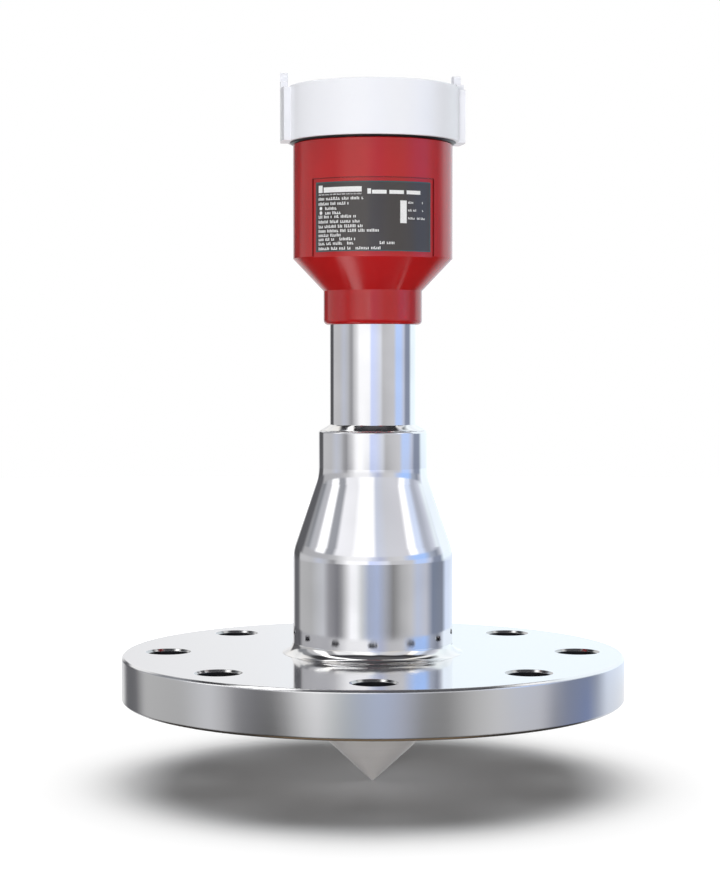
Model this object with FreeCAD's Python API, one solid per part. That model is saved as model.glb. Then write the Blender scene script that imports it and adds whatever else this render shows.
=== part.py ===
import FreeCAD, Part
import math
import os

# Radar level transmitter with a flanged cone antenna, in millimetres.
# The origin is the centre of the flange's sealing face. +Z runs up along the neck,
# the label faces -Y and the cable leaves along +Y.

# Clearances
slip = 0.1
weld_gap = 0.05
turning_gap = 0.1
free_gap = 0.3

# Process flange, nominal size 100, pressure 16
flange_diameter = 220.0
rim_thickness = 20.0
rim_chamfer = 1.0
raised_face_diameter = 158.0
raised_face_height = 2.0
bolt_edge_distance = 20.0
bolt_count = 8
bolt_hole = 18.0
bolt_hole_chamfer = 1.0

# Antenna cone and its seat in the flange
cone_diameter = 76.0
cone_half_angle = 47.0
cone_tip_round = 1.0
cone_plug_height = 11.0
cone_groove_height = 3.0
cone_seal_section = 3.0
inner_cone_gap = 2.0
inner_cone_height = 42.0

# Horn and waveguide
horn_rim_thickness = 3.0
horn_gap = 1.05
horn_wall = 1.5
horn_length = 76.0
horn_socket_depth = 12.0
horn_socket_wall = 2.0
waveguide_diameter = 14.0
waveguide_wall = 1.0
spacer_below_housing = 15.7
spacer_thickness = 8.0

# Reducer between flange and neck
reducer_wide_diameter = 70.1
reducer_narrow_diameter = 47.5
reducer_wall = 2.5
reducer_wide_length = 44.9
reducer_cone_length = 33.0
reducer_narrow_length = 19.6
reducer_bend = 20.0
reducer_edge_round = 1.0
reducer_collar_length = 8.0
reducer_ledge = 2.0
reducer_ledge_height = 1.5

# Weld beads
flange_weld_width = 4.7
flange_weld_height = 5.0
neck_weld_inset = 0.5
neck_weld_height = 2.7

# Neck tube
neck_diameter = 37.6
neck_wall = 3.0
neck_shoulder_in_collar = 12.3
neck_shoulder = 1.2
swivel_ring_width = 2.3
swivel_ring_thickness = 3.0
neck_end_above_ring = 0.7
swivel_seal_section = 3.0
swivel_seal_above_shoulder = 8.0

# Housing
housing_above_reducer = 46.2
collar_wall = 2.7
collar_length = 14.7
collar_round = 2.0
housing_diameter = 69.6
housing_cone_length = 14.0
housing_length = 49.3
housing_wall = 3.6
floor_above_seal = 6.0
lid_rim_wall = 2.4
lid_rim_length = 17.8
lid_rim_round = 0.8

# Lock screw in the collar
lock_screw_in_collar = 6.3
lock_screw_diameter = 5.0
lock_screw_length = 6.5
lock_screw_socket = 2.5
lock_boss_diameter = 9.0
lock_screw_sink = 0.4
lock_boss_round = 0.5

# Label and its recess
recess_depth = 0.45
recess_height = 32.8
recess_half_angle = 48.0
label_thickness = 0.3
label_margin_bottom = 1.7
label_margin_top = 1.7
label_margin_side = 3.5

# Electronics
carrier_gap = 0.9
carrier_wall = 1.8
carrier_floor = 2.0
column_length = 7.0
carrier_depth = 16.0
board_height = 7.0
board_thickness = 1.6
board_gap = 0.3
chip_width = 10.0
chip_height = 1.2
coil_width = 6.0
coil_height = 3.0
board_plug_length = 12.0
board_plug_width = 4.0
board_part_spacing = 9.0
cover_thickness = 2.0
cover_edge_round = 0.5
pillar_count = 3
pillar_first_angle = 30.0
pillar_diameter = 6.4
column_diameter = 6.8
carrier_screw_diameter = 3.0
carrier_screw_head_diameter = 5.5
carrier_screw_head_height = 2.0
carrier_screw_bite = 5.0
module_spigot_diameter = 23.6
module_width = 30.0
module_bore_depth = 3.0
module_foot_below_seat = 1.0
coupling_gap = 1.0

# Terminals
terminal_count = 4
terminal_pitch = 8.0
terminal_end = 3.0
terminal_depth = 15.0
terminal_block_round = 0.6
terminal_block_height = 10.0
terminal_block_y = -4.0
wire_hole_diameter = 4.0
wire_hole_floor = 1.0
terminal_screw_diameter = 4.4
terminal_screw_length = 3.0
terminal_screw_sink = 1.2
terminal_slot_width = 0.8
terminal_slot_depth = 0.9

# Cable gland
gland_boss_below_shoulder = 0.7
gland_thread = 20.0
gland_bore = 11.0
gland_boss_diameter = 29.0
gland_boss_length = 3.7
gland_boss_round = 0.8
gland_gasket_thickness = 1.5
gland_gasket_diameter = 26.0
gland_flats = 24.0
gland_flange_length = 6.0
gland_inner_length = 9.5
gland_outer_thread = 19.2
gland_outer_length = 7.0
gland_mouth = 15.6
gland_mouth_depth = 5.0
insert_bore = 8.0
insert_length = 7.0
nut_skirt_gap = 0.6
nut_length = 13.0
nut_nose_diameter = 19.0
nut_nose_length = 3.5
nut_hole = 12.0
nut_seat_depth = 1.0

# Lid
lid_skirt_wall = 1.3
lid_above_shoulder = 1.2
lid_height = 23.7
lid_top_thickness = 3.0
lid_edge_round = 0.8
lid_lip_round = 0.4
lid_inner_round = 1.5
lid_seal_section = 2.0
lid_turned = 8.5

# Grip ears on the lid, measured round the lid from each ear's middle, front positive
ear_reach = 2.9
ear_root = 0.3
ear_front = 7.2
ear_back = 8.0
ear_front_drop = 0.7
ear_middle_step = 3.1
ear_post_step = 4.4
ear_middle_front = 0.3
ear_post_width = 3.0
ear_post_round = 1.2
ear_step_round = 0.6

# Heights that several pieces share
flange_top = raised_face_height + rim_thickness
cone_seat_depth = cone_plug_height + horn_rim_thickness
waveguide_foot = cone_seat_depth + horn_length
reducer_wide_end = flange_top + reducer_wide_length
reducer_narrow_end = reducer_wide_end + reducer_cone_length
reducer_top = reducer_narrow_end + reducer_narrow_length
neck_foot = reducer_top - reducer_collar_length + reducer_ledge_height
collar_bottom = reducer_top + housing_above_reducer
lock_screw_height = collar_bottom + lock_screw_in_collar
neck_shoulder_height = collar_bottom + neck_shoulder_in_collar
swivel_seal_height = neck_shoulder_height + swivel_seal_above_shoulder
housing_floor_height = swivel_seal_height + floor_above_seal
swivel_ring_foot = housing_floor_height + free_gap
neck_top = swivel_ring_foot + swivel_ring_thickness + neck_end_above_ring
housing_cone_foot = collar_bottom + collar_length
housing_cone_top = housing_cone_foot + housing_cone_length
shoulder_height = housing_cone_top + housing_length
lid_rim_top = shoulder_height + lid_rim_length
carrier_seat_height = housing_floor_height + column_length
carrier_top = carrier_seat_height + carrier_depth
board_foot = carrier_seat_height + carrier_floor + board_height
cover_top = carrier_top + cover_thickness
gland_height = shoulder_height - gland_boss_below_shoulder - gland_boss_diameter / 2
lid_foot = shoulder_height + lid_above_shoulder
lid_top = lid_foot + lid_height

# Radii that several pieces share
bolt_circle_radius = flange_diameter / 2 - bolt_edge_distance
cone_seat_radius = cone_diameter / 2
reducer_wide_radius = reducer_wide_diameter / 2
reducer_narrow_radius = reducer_narrow_diameter / 2
flange_bore_radius = reducer_wide_radius - reducer_wall
horn_mouth_radius = flange_bore_radius - horn_gap - horn_wall
waveguide_radius = waveguide_diameter / 2
neck_radius = neck_diameter / 2
spigot_radius = neck_radius - neck_shoulder
collar_radius = neck_radius + collar_wall
housing_radius = housing_diameter / 2
chamber_radius = housing_radius - housing_wall
lid_rim_radius = chamber_radius + lid_rim_wall
carrier_radius = chamber_radius - carrier_gap
carrier_inner_radius = carrier_radius - carrier_wall
swivel_ring_radius = spigot_radius + weld_gap + swivel_ring_width
pillar_radius = (swivel_ring_radius + carrier_inner_radius) / 2
gland_boss_face = housing_radius + gland_boss_length
lid_bore_radius = lid_rim_radius + free_gap
lid_groove_radius = lid_bore_radius + lid_seal_section + free_gap
lid_radius = lid_groove_radius + lid_skirt_wall

up = FreeCAD.Vector(0, 0, 1)
outward = FreeCAD.Vector(0, 1, 0)
centre = FreeCAD.Vector(0, 0, 0)


def rounded_corner(before, corner, after, rounding):
    """Start, middle and end of the arc that rounds a corner."""
    to_before = (before - corner).normalize()
    to_after = (after - corner).normalize()
    half_angle = to_before.getAngle(to_after) / 2
    reach = rounding / math.tan(half_angle)
    bisector = (to_before + to_after).normalize()
    arc_centre = corner + bisector * (rounding / math.sin(half_angle))
    return corner + to_before * reach, arc_centre - bisector * rounding, corner + to_after * reach


def flat_shape(points, roundings):
    """Face whose outline joins the points, with an arc where a rounding is given."""
    count = len(points)
    spans = []
    for index in range(count):
        corner = points[index]
        if roundings[index] > 0:
            following = points[(index + 1) % count]
            spans.append(rounded_corner(points[index - 1], corner, following, roundings[index]))
        else:
            spans.append((corner, corner, corner))
    edges = []
    for index in range(count):
        start, middle, end = spans[index]
        if roundings[index] > 0:
            edges.append(Part.Arc(start, middle, end).toShape())
        edges.append(Part.makeLine(end, spans[(index + 1) % count][0]))
    return Part.Face(Part.Wire(edges))


def turned(*corners):
    """Solid of revolution about Z. Each corner is (radius, height) or (radius, height, rounding)."""
    points = [FreeCAD.Vector(corner[0], 0, corner[1]) for corner in corners]
    roundings = [corner[2] if len(corner) == 3 else 0.0 for corner in corners]
    return flat_shape(points, roundings).revolve(centre, up, 360)


def ring(inner_radius, outer_radius, foot, top):
    """Plain ring about Z."""
    return turned((inner_radius, foot), (outer_radius, foot), (outer_radius, top), (inner_radius, top))


def rod(radius, foot, top):
    """Plain cylinder about Z."""
    return Part.makeCylinder(radius, top - foot, FreeCAD.Vector(0, 0, foot))


def seal_ring(ring_radius, section, height):
    """Sealing ring of round section, its middle plane at the height."""
    return Part.makeTorus(ring_radius, section / 2, FreeCAD.Vector(0, 0, height))


def across(shape, height):
    """Turns a shape made about Z so that its axis runs along +Y at the height."""
    turned_shape = shape.copy()
    turned_shape.rotate(centre, FreeCAD.Vector(1, 0, 0), -90)
    turned_shape.translate(FreeCAD.Vector(0, 0, height))
    return turned_shape


def hexagon(flats, foot, top):
    """Hexagonal bar about Z with a corner on +X, so that flats lie above and below after the turn to +Y."""
    corner_radius = flats / 2 / math.cos(math.pi / 6)
    corners = []
    for index in range(6):
        angle = math.radians(60 * index)
        corners.append(FreeCAD.Vector(math.cos(angle), math.sin(angle), 0) * corner_radius)
    face = Part.Face(Part.makePolygon(corners + corners[:1]))
    face.translate(up * foot)
    return face.extrude(up * (top - foot))


def chamfered_hexagon(flats, foot, top):
    """Hexagonal bar whose corners are turned back at both ends, as on a nut."""
    corner_radius = flats / 2 / math.cos(math.pi / 6)
    bevel = corner_radius - flats / 2
    blank = turned(
        (0, foot),
        (flats / 2, foot),
        (corner_radius, foot + bevel * math.tan(math.radians(30))),
        (corner_radius, top - bevel * math.tan(math.radians(30))),
        (flats / 2, top),
        (0, top),
    )
    return hexagon(flats, foot, top).common(blank)


def around(shape, count, first_angle):
    """Copies of a shape spaced evenly about Z."""
    copies = []
    for index in range(count):
        copy = shape.copy()
        copy.rotate(centre, up, first_angle + 360.0 * index / count)
        copies.append(copy)
    return copies


def shell_sector(inner_radius, outer_radius, foot, top, half_angle):
    """Part of a ring about Z, centred on -Y."""
    section = flat_shape(
        [
            FreeCAD.Vector(inner_radius, 0, foot),
            FreeCAD.Vector(outer_radius, 0, foot),
            FreeCAD.Vector(outer_radius, 0, top),
            FreeCAD.Vector(inner_radius, 0, top),
        ],
        [0.0] * 4,
    )
    sector = section.revolve(centre, up, 2 * half_angle)
    sector.rotate(centre, up, -90 - half_angle)
    return sector


def flange():
    """Turned ring with a raised sealing face, a stepped bore and bolt holes chamfered on top."""
    outer = flange_diameter / 2
    disc = turned(
        (cone_seat_radius, 0),
        (raised_face_diameter / 2, 0),
        (raised_face_diameter / 2, raised_face_height),
        (outer - rim_chamfer, raised_face_height),
        (outer, raised_face_height + rim_chamfer),
        (outer, flange_top - rim_chamfer),
        (outer - rim_chamfer, flange_top),
        (flange_bore_radius, flange_top),
        (flange_bore_radius, cone_seat_depth),
        (cone_seat_radius, cone_seat_depth),
    )
    hole_radius = bolt_hole / 2
    mouth_radius = hole_radius + bolt_hole_chamfer
    hole = turned(
        (0, raised_face_height),
        (hole_radius, raised_face_height),
        (hole_radius, flange_top - bolt_hole_chamfer),
        (mouth_radius, flange_top),
        (0, flange_top),
    )
    hole.translate(FreeCAD.Vector(bolt_circle_radius, 0, 0))
    return disc.cut(around(hole, bolt_count, -90))


def antenna_cone():
    """Plastic cone with a rounded tip, a grooved plug and a second cone that reaches up into the horn."""
    slope = math.radians(cone_half_angle)
    depth = cone_seat_radius / math.tan(slope)
    ball_height = -depth + cone_tip_round / math.sin(slope)
    plug_radius = cone_seat_radius - slip
    rim_height = -slip / math.tan(slope)
    groove_radius = cone_seat_radius - cone_seal_section - 2 * weld_gap
    groove_top = cone_groove_height + cone_seal_section + 2 * slip
    tip = FreeCAD.Vector(0, 0, ball_height - cone_tip_round)
    tip_middle = FreeCAD.Vector(
        cone_tip_round * math.sin((math.pi / 2 - slope) / 2),
        0,
        ball_height - cone_tip_round * math.cos((math.pi / 2 - slope) / 2),
    )
    tip_end = FreeCAD.Vector(
        cone_tip_round * math.cos(slope),
        0,
        ball_height - cone_tip_round * math.sin(slope),
    )
    outline = [
        (plug_radius, rim_height),
        (plug_radius, cone_groove_height),
        (groove_radius, cone_groove_height),
        (groove_radius, groove_top),
        (plug_radius, groove_top),
        (plug_radius, cone_plug_height),
        (horn_mouth_radius - inner_cone_gap, cone_plug_height),
        (0, cone_plug_height + inner_cone_height),
    ]
    points = [tip_end] + [FreeCAD.Vector(radius, 0, height) for radius, height in outline] + [tip]
    edges = [Part.Arc(tip, tip_middle, tip_end).toShape()]
    for start, end in zip(points, points[1:]):
        edges.append(Part.makeLine(start, end))
    return Part.Face(Part.Wire(edges)).revolve(centre, up, 360)


def cone_seal():
    """Sealing ring in the groove of the cone's plug."""
    return seal_ring(
        cone_seat_radius - weld_gap - cone_seal_section / 2,
        cone_seal_section,
        cone_groove_height + slip + cone_seal_section / 2,
    )


def horn_antenna():
    """Conical horn whose rim is clamped between the cone's plug and the flange's shoulder."""
    mouth = horn_mouth_radius
    throat = waveguide_radius - waveguide_wall
    socket = waveguide_radius + horn_socket_wall
    rim_top = cone_plug_height + horn_rim_thickness
    socket_foot = waveguide_foot - horn_socket_wall
    return turned(
        (mouth, cone_plug_height),
        (cone_seat_radius - slip, cone_plug_height),
        (cone_seat_radius - slip, rim_top),
        (mouth + horn_wall, rim_top),
        (socket, socket_foot),
        (socket, waveguide_foot + horn_socket_depth),
        (waveguide_radius + weld_gap, waveguide_foot + horn_socket_depth),
        (waveguide_radius + weld_gap, waveguide_foot),
        (throat, waveguide_foot),
        (throat, socket_foot),
        (mouth, rim_top),
    )


def waveguide_tube():
    """Round pipe from the horn's throat up into the electronics."""
    top = carrier_seat_height - module_foot_below_seat + module_bore_depth - coupling_gap
    return ring(waveguide_radius - waveguide_wall, waveguide_radius, waveguide_foot, top)


def waveguide_spacer():
    """Plastic disc that centres the waveguide in the neck."""
    foot = collar_bottom - spacer_below_housing
    outer = neck_radius - neck_wall - weld_gap
    return ring(waveguide_radius + weld_gap, outer, foot, foot + spacer_thickness)


def reducer():
    """Drawn shell: wide cylinder, curved transition, narrow cylinder with a bored collar for the neck."""
    wide = reducer_wide_radius
    narrow = reducer_narrow_radius
    lean = math.atan((wide - narrow) / reducer_cone_length)
    inner_shift = reducer_wall * math.tan(lean / 2)
    collar_foot = reducer_top - reducer_collar_length
    return turned(
        (wide, flange_top),
        (wide, reducer_wide_end, reducer_bend),
        (narrow, reducer_narrow_end, reducer_bend),
        (narrow, reducer_top, reducer_edge_round),
        (neck_radius + weld_gap, reducer_top),
        (neck_radius + weld_gap, neck_foot),
        (neck_radius - reducer_ledge, neck_foot),
        (neck_radius - reducer_ledge, collar_foot),
        (narrow - reducer_wall, collar_foot),
        (narrow - reducer_wall, reducer_narrow_end - inner_shift, reducer_bend + reducer_wall),
        (wide - reducer_wall, reducer_wide_end - inner_shift, reducer_bend - reducer_wall),
        (wide - reducer_wall, flange_top),
    )


def flange_weld():
    """Fillet bead round the foot of the reducer, hollow above and rounded at its toe."""
    root = reducer_wide_radius + weld_gap
    return turned(
        (root, flange_top),
        (root + flange_weld_width, flange_top),
        (root + 0.92 * flange_weld_width, flange_top + 0.2 * flange_weld_height, 0.1 * flange_weld_height),
        (root + 0.25 * flange_weld_width, flange_top + 0.5 * flange_weld_height, 0.4 * flange_weld_height),
        (root, flange_top + flange_weld_height),
    )


def neck_weld():
    """Bead that closes the step between the reducer's end and the neck."""
    root = neck_radius + weld_gap
    width = reducer_narrow_radius - neck_weld_inset - root
    return turned(
        (root, reducer_top),
        (root + width, reducer_top),
        (root + 0.8 * width, reducer_top + 0.6 * neck_weld_height, 0.3 * neck_weld_height),
        (root + 0.4 * width, reducer_top + 0.95 * neck_weld_height, 0.3 * neck_weld_height),
        (root, reducer_top + neck_weld_height),
    )


def neck_tube():
    """Tube that carries the housing, with a shoulder below its turning seat."""
    inner = neck_radius - neck_wall
    return turned(
        (inner, neck_foot),
        (neck_radius, neck_foot),
        (neck_radius, neck_shoulder_height),
        (spigot_radius, neck_shoulder_height),
        (spigot_radius, neck_top),
        (inner, neck_top),
    )


def swivel_ring():
    """Ring fixed on the neck's end, above the housing's floor."""
    inner = spigot_radius + weld_gap
    return ring(inner, swivel_ring_radius, swivel_ring_foot, swivel_ring_foot + swivel_ring_thickness)


def pillar_places():
    """Places of the electronics' screws."""
    places = []
    for index in range(pillar_count):
        angle = math.radians(pillar_first_angle + 360.0 * index / pillar_count)
        places.append(FreeCAD.Vector(math.cos(angle), math.sin(angle), 0) * pillar_radius)
    return places


def at_pillars(radius, foot, top):
    """One cylinder at each of the electronics' screws."""
    return [Part.makeCylinder(radius, top - foot, place + up * foot) for place in pillar_places()]


def housing_outer():
    """Outer form of the housing without its hollow."""
    return turned(
        (0, collar_bottom),
        (collar_radius, collar_bottom, collar_round),
        (collar_radius, housing_cone_foot),
        (housing_radius, housing_cone_top),
        (housing_radius, shoulder_height),
        (lid_rim_radius, shoulder_height),
        (lid_rim_radius, lid_rim_top, lid_rim_round),
        (0, lid_rim_top),
    )


def housing_chamber():
    """Hollow above the housing's floor, its cone parallel to the outside."""
    flare = (housing_radius - collar_radius) / housing_cone_length
    lift = housing_wall * math.sqrt(1 + flare ** 2) / flare
    cone_end = housing_cone_top + lift - housing_wall / flare
    floor_radius = chamber_radius - (cone_end - housing_floor_height) * flare
    return turned(
        (0, housing_floor_height),
        (floor_radius, housing_floor_height),
        (chamber_radius, cone_end),
        (chamber_radius, lid_rim_top),
        (0, lid_rim_top),
    )


def housing_bore():
    """Stepped bore that turns on the neck, with the groove of its sealing ring."""
    wide = neck_radius + turning_gap
    narrow = spigot_radius + turning_gap
    shoulder = neck_shoulder_height + turning_gap
    groove = spigot_radius + free_gap + swivel_seal_section + slip
    groove_half = swivel_seal_section / 2 + slip
    return turned(
        (0, collar_bottom),
        (wide, collar_bottom),
        (wide, shoulder),
        (narrow, shoulder),
        (narrow, swivel_seal_height - groove_half),
        (groove, swivel_seal_height - groove_half),
        (groove, swivel_seal_height + groove_half),
        (narrow, swivel_seal_height + groove_half),
        (narrow, housing_floor_height),
        (0, housing_floor_height),
    )


def gland_boss():
    """Round boss behind the housing with a flat face for the gland."""
    radius = gland_boss_diameter / 2
    boss = turned((0, 0), (radius, 0), (radius, gland_boss_face, gland_boss_round), (0, gland_boss_face))
    return across(boss, gland_height)


def lock_screw_end():
    """Distance of the lock screw's outer end from the neck's axis."""
    return neck_radius + free_gap + lock_screw_length


def lock_boss():
    """Small boss behind the collar for the lock screw."""
    radius = lock_boss_diameter / 2
    reach = lock_screw_end() + lock_screw_sink
    boss = turned((0, 0), (radius, 0), (radius, reach, lock_boss_round), (0, reach))
    return across(boss, lock_screw_height)


def housing_body():
    """Moulded housing: collar, cone, cylinder, threaded rim, label recess and cable boss in one piece."""
    body = housing_outer().fuse([gland_boss(), lock_boss()])
    body = body.cut([housing_chamber(), housing_bore()])
    over_ring = rod(swivel_ring_radius + free_gap, housing_floor_height, carrier_seat_height)
    columns = at_pillars(column_diameter / 2, housing_floor_height, carrier_seat_height)
    body = body.fuse([column.cut(over_ring) for column in columns])
    recess = shell_sector(
        housing_radius - recess_depth,
        housing_radius + recess_depth,
        housing_cone_top - 2 * recess_depth,
        housing_cone_top + recess_height,
        recess_half_angle,
    )
    screw_holes = at_pillars(
        carrier_screw_diameter / 2 + weld_gap,
        carrier_seat_height - carrier_screw_bite - free_gap,
        carrier_seat_height,
    )
    gland_hole = across(rod(gland_thread / 2, 0, gland_boss_face), gland_height)
    lock_hole_end = lock_screw_end() + lock_screw_sink
    lock_hole = across(rod(lock_screw_diameter / 2 + weld_gap, 0, lock_hole_end), lock_screw_height)
    return body.cut([recess, gland_hole, lock_hole] + screw_holes).removeSplitter()


def label_plate():
    """Thin curved plate that lies in the recess."""
    inner = housing_radius - recess_depth + weld_gap
    foot = housing_cone_top + label_margin_bottom
    top = housing_cone_top + recess_height - label_margin_top
    half_angle = recess_half_angle - label_margin_side
    return shell_sector(inner, inner + label_thickness, foot, top, half_angle)


def swivel_seal():
    """Sealing ring in the housing's bore, round the neck's upper end."""
    ring_radius = spigot_radius + free_gap + swivel_seal_section / 2
    return seal_ring(ring_radius, swivel_seal_section, swivel_seal_height)


def swivel_lock_screw():
    """Grub screw with a hexagonal socket, its tip just off the neck."""
    end = lock_screw_end()
    tip = end - lock_screw_length
    radius = lock_screw_diameter / 2
    screw = turned((0, tip), (radius, tip, 0.4), (radius, end, 0.3), (0, end))
    return across(screw.cut(hexagon(lock_screw_socket, end - lock_screw_length / 2, end)), lock_screw_height)


def electronics_carrier():
    """Moulded cup with a round window for the radar module and a pillar at each screw."""
    top = carrier_top
    cup = turned(
        (module_spigot_diameter / 2 + slip, carrier_seat_height),
        (carrier_radius, carrier_seat_height, 1.0),
        (carrier_radius, top),
        (carrier_inner_radius, top),
        (carrier_inner_radius, carrier_seat_height + carrier_floor),
        (module_spigot_diameter / 2 + slip, carrier_seat_height + carrier_floor),
    )
    cup = cup.fuse(at_pillars(pillar_diameter / 2, carrier_seat_height + carrier_floor, board_foot))
    holes = at_pillars(carrier_screw_diameter / 2 + slip, carrier_seat_height, board_foot)
    return cup.cut(holes).removeSplitter()


def radar_module():
    """Metal block of the microwave stage, open below towards the waveguide."""
    spigot_foot = carrier_seat_height - module_foot_below_seat
    seat = carrier_seat_height + carrier_floor
    half = module_width / 2
    block = Part.makeBox(module_width, module_width, board_foot - seat, FreeCAD.Vector(-half, -half, seat))
    block = block.fuse(rod(module_spigot_diameter / 2, spigot_foot, seat))
    bore = rod(waveguide_radius + free_gap, spigot_foot, spigot_foot + module_bore_depth)
    return block.cut(bore).removeSplitter()


def main_board():
    """Round circuit board with its largest components, screwed down between carrier and cover."""
    radius = carrier_inner_radius - board_gap
    board = rod(radius, board_foot, board_foot + board_thickness)
    top = board_foot + board_thickness
    chip_corner = FreeCAD.Vector(-chip_width / 2, -chip_width / 2, top)
    chip = Part.makeBox(chip_width, chip_width, chip_height, chip_corner)
    coil_corner = FreeCAD.Vector(board_part_spacing, -coil_width / 2, top)
    coil = Part.makeBox(coil_width, coil_width, coil_height, coil_corner)
    plug_corner = FreeCAD.Vector(-board_plug_length / 2, board_part_spacing, top)
    plug = Part.makeBox(board_plug_length, board_plug_width, coil_height, plug_corner)
    board = board.fuse([chip, coil, plug])
    holes = at_pillars(carrier_screw_diameter / 2 + slip, board_foot, top)
    return board.cut(holes).removeSplitter()


def electronics_cover():
    """Disc that closes the carrier, with a pillar down to the board at each screw."""
    disc = turned(
        (0, carrier_top),
        (carrier_radius, carrier_top),
        (carrier_radius, cover_top, cover_edge_round),
        (0, cover_top),
    )
    board_top = board_foot + board_thickness
    inside_carrier = rod(carrier_inner_radius - board_gap, board_top, carrier_top)
    pillars = at_pillars(pillar_diameter / 2, board_top, carrier_top)
    holes = at_pillars(carrier_screw_diameter / 2 + slip, board_top, cover_top)
    disc = disc.fuse([pillar.common(inside_carrier) for pillar in pillars])
    return disc.cut(holes).removeSplitter()


def carrier_screws():
    """Long screws through cover, board and carrier into the housing's columns."""
    shank_radius = carrier_screw_diameter / 2
    head_radius = carrier_screw_head_diameter / 2
    head_top = cover_top + carrier_screw_head_height
    screw = turned(
        (0, carrier_seat_height - carrier_screw_bite),
        (shank_radius, carrier_seat_height - carrier_screw_bite, 0.4),
        (shank_radius, cover_top),
        (head_radius, cover_top),
        (head_radius, head_top, 0.8),
        (0, head_top),
    )
    slot = Part.makeBox(
        carrier_screw_head_diameter,
        terminal_slot_width,
        terminal_slot_depth,
        FreeCAD.Vector(-head_radius, -terminal_slot_width / 2, head_top - terminal_slot_depth),
    )
    screw = screw.cut(slot)
    screws = []
    for place in pillar_places():
        copy = screw.copy()
        copy.translate(place)
        screws.append(copy)
    return Part.makeCompound(screws)


def terminal_places():
    """Places of the terminals from left to right."""
    first = -(terminal_count - 1) * terminal_pitch / 2
    places = []
    for index in range(terminal_count):
        places.append(FreeCAD.Vector(first + index * terminal_pitch, terminal_block_y, 0))
    return places


def terminal_block():
    """Clamp block with a wire hole at the back and a screw well above each terminal."""
    length = terminal_count * terminal_pitch + 2 * terminal_end
    top = cover_top + terminal_block_height
    corner = FreeCAD.Vector(-length / 2, terminal_block_y - terminal_depth / 2, cover_top)
    block = Part.makeBox(length, terminal_depth, terminal_block_height, corner)
    upper_edges = [edge for edge in block.Edges if edge.BoundBox.ZMin > top - terminal_block_round]
    block = block.makeFillet(terminal_block_round, upper_edges)
    cuts = []
    well_depth = terminal_screw_sink + terminal_screw_length
    well_radius = terminal_screw_diameter / 2 + slip
    for place in terminal_places():
        well = Part.makeCylinder(well_radius, well_depth, place + up * (top - well_depth))
        wire_hole = Part.makeCylinder(
            wire_hole_diameter / 2,
            terminal_depth / 2,
            place + up * (cover_top + wire_hole_diameter / 2 + wire_hole_floor),
            outward,
        )
        cuts.extend([well, wire_hole])
    return block.cut(cuts)


def terminal_screws():
    """Slotted clamp screws in the terminal block's wells."""
    top = cover_top + terminal_block_height - terminal_screw_sink
    radius = terminal_screw_diameter / 2
    screw = rod(radius, top - terminal_screw_length, top)
    slot = Part.makeBox(
        terminal_screw_diameter,
        terminal_slot_width,
        terminal_slot_depth,
        FreeCAD.Vector(-radius, -terminal_slot_width / 2, top - terminal_slot_depth),
    )
    screw = screw.cut(slot)
    screws = []
    for place in terminal_places():
        copy = screw.copy()
        copy.translate(place)
        screws.append(copy)
    return Part.makeCompound(screws)


def gland_body():
    """Gland body: threaded shank in the boss, hexagon, outer thread and a wide mouth for the insert."""
    hexagon_foot = gland_boss_face + gland_gasket_thickness
    hexagon_top = hexagon_foot + gland_flange_length
    thread_top = hexagon_top + gland_outer_length
    shank_foot = gland_boss_face - gland_inner_length
    body = chamfered_hexagon(gland_flats, hexagon_foot, hexagon_top)
    body = body.fuse(rod(gland_thread / 2 - weld_gap, shank_foot, hexagon_foot))
    body = body.fuse(rod(gland_outer_thread / 2, hexagon_top, thread_top))
    bore = rod(gland_bore / 2, shank_foot, thread_top)
    mouth = rod(gland_mouth / 2, thread_top - gland_mouth_depth, thread_top)
    return across(body.cut([bore, mouth]).removeSplitter(), gland_height)


def gland_gasket():
    """Flat sealing ring between the gland's hexagon and the boss."""
    gasket = ring(
        gland_thread / 2 + weld_gap,
        gland_gasket_diameter / 2,
        gland_boss_face,
        gland_boss_face + gland_gasket_thickness,
    )
    return across(gasket, gland_height)


def insert_foot():
    """Inner end of the gland's rubber insert, just off the mouth's floor."""
    thread_top = gland_boss_face + gland_gasket_thickness + gland_flange_length + gland_outer_length
    return thread_top - gland_mouth_depth + free_gap


def gland_insert():
    """Rubber ring that is squeezed onto the cable."""
    foot = insert_foot()
    top = foot + insert_length
    outer = gland_mouth / 2 - free_gap
    insert = turned(
        (insert_bore / 2, foot),
        (outer, foot, 0.8),
        (outer, top, 1.2),
        (insert_bore / 2, top),
    )
    return across(insert, gland_height)


def gland_nut():
    """Cap nut: threaded skirt, hexagon and rounded nose with the cable's hole."""
    foot = gland_boss_face + gland_gasket_thickness + gland_flange_length + nut_skirt_gap
    hexagon_top = foot + nut_length - nut_nose_length
    nose = turned(
        (0, foot),
        (nut_nose_diameter / 2, foot),
        (nut_nose_diameter / 2, foot + nut_length, 2.5),
        (0, foot + nut_length),
    )
    nut = chamfered_hexagon(gland_flats, foot, hexagon_top).fuse(nose)
    insert_top = insert_foot() + insert_length
    hollow = turned(
        (0, foot),
        (gland_outer_thread / 2 + free_gap, foot),
        (gland_outer_thread / 2 + free_gap, insert_top - nut_seat_depth),
        (gland_mouth / 2 + free_gap, insert_top - nut_seat_depth),
        (gland_mouth / 2 + free_gap, insert_top + free_gap),
        (nut_hole / 2, insert_top + free_gap),
        (nut_hole / 2, foot + nut_length),
        (0, foot + nut_length),
    )
    return across(nut.cut(hollow).removeSplitter(), gland_height)


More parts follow.
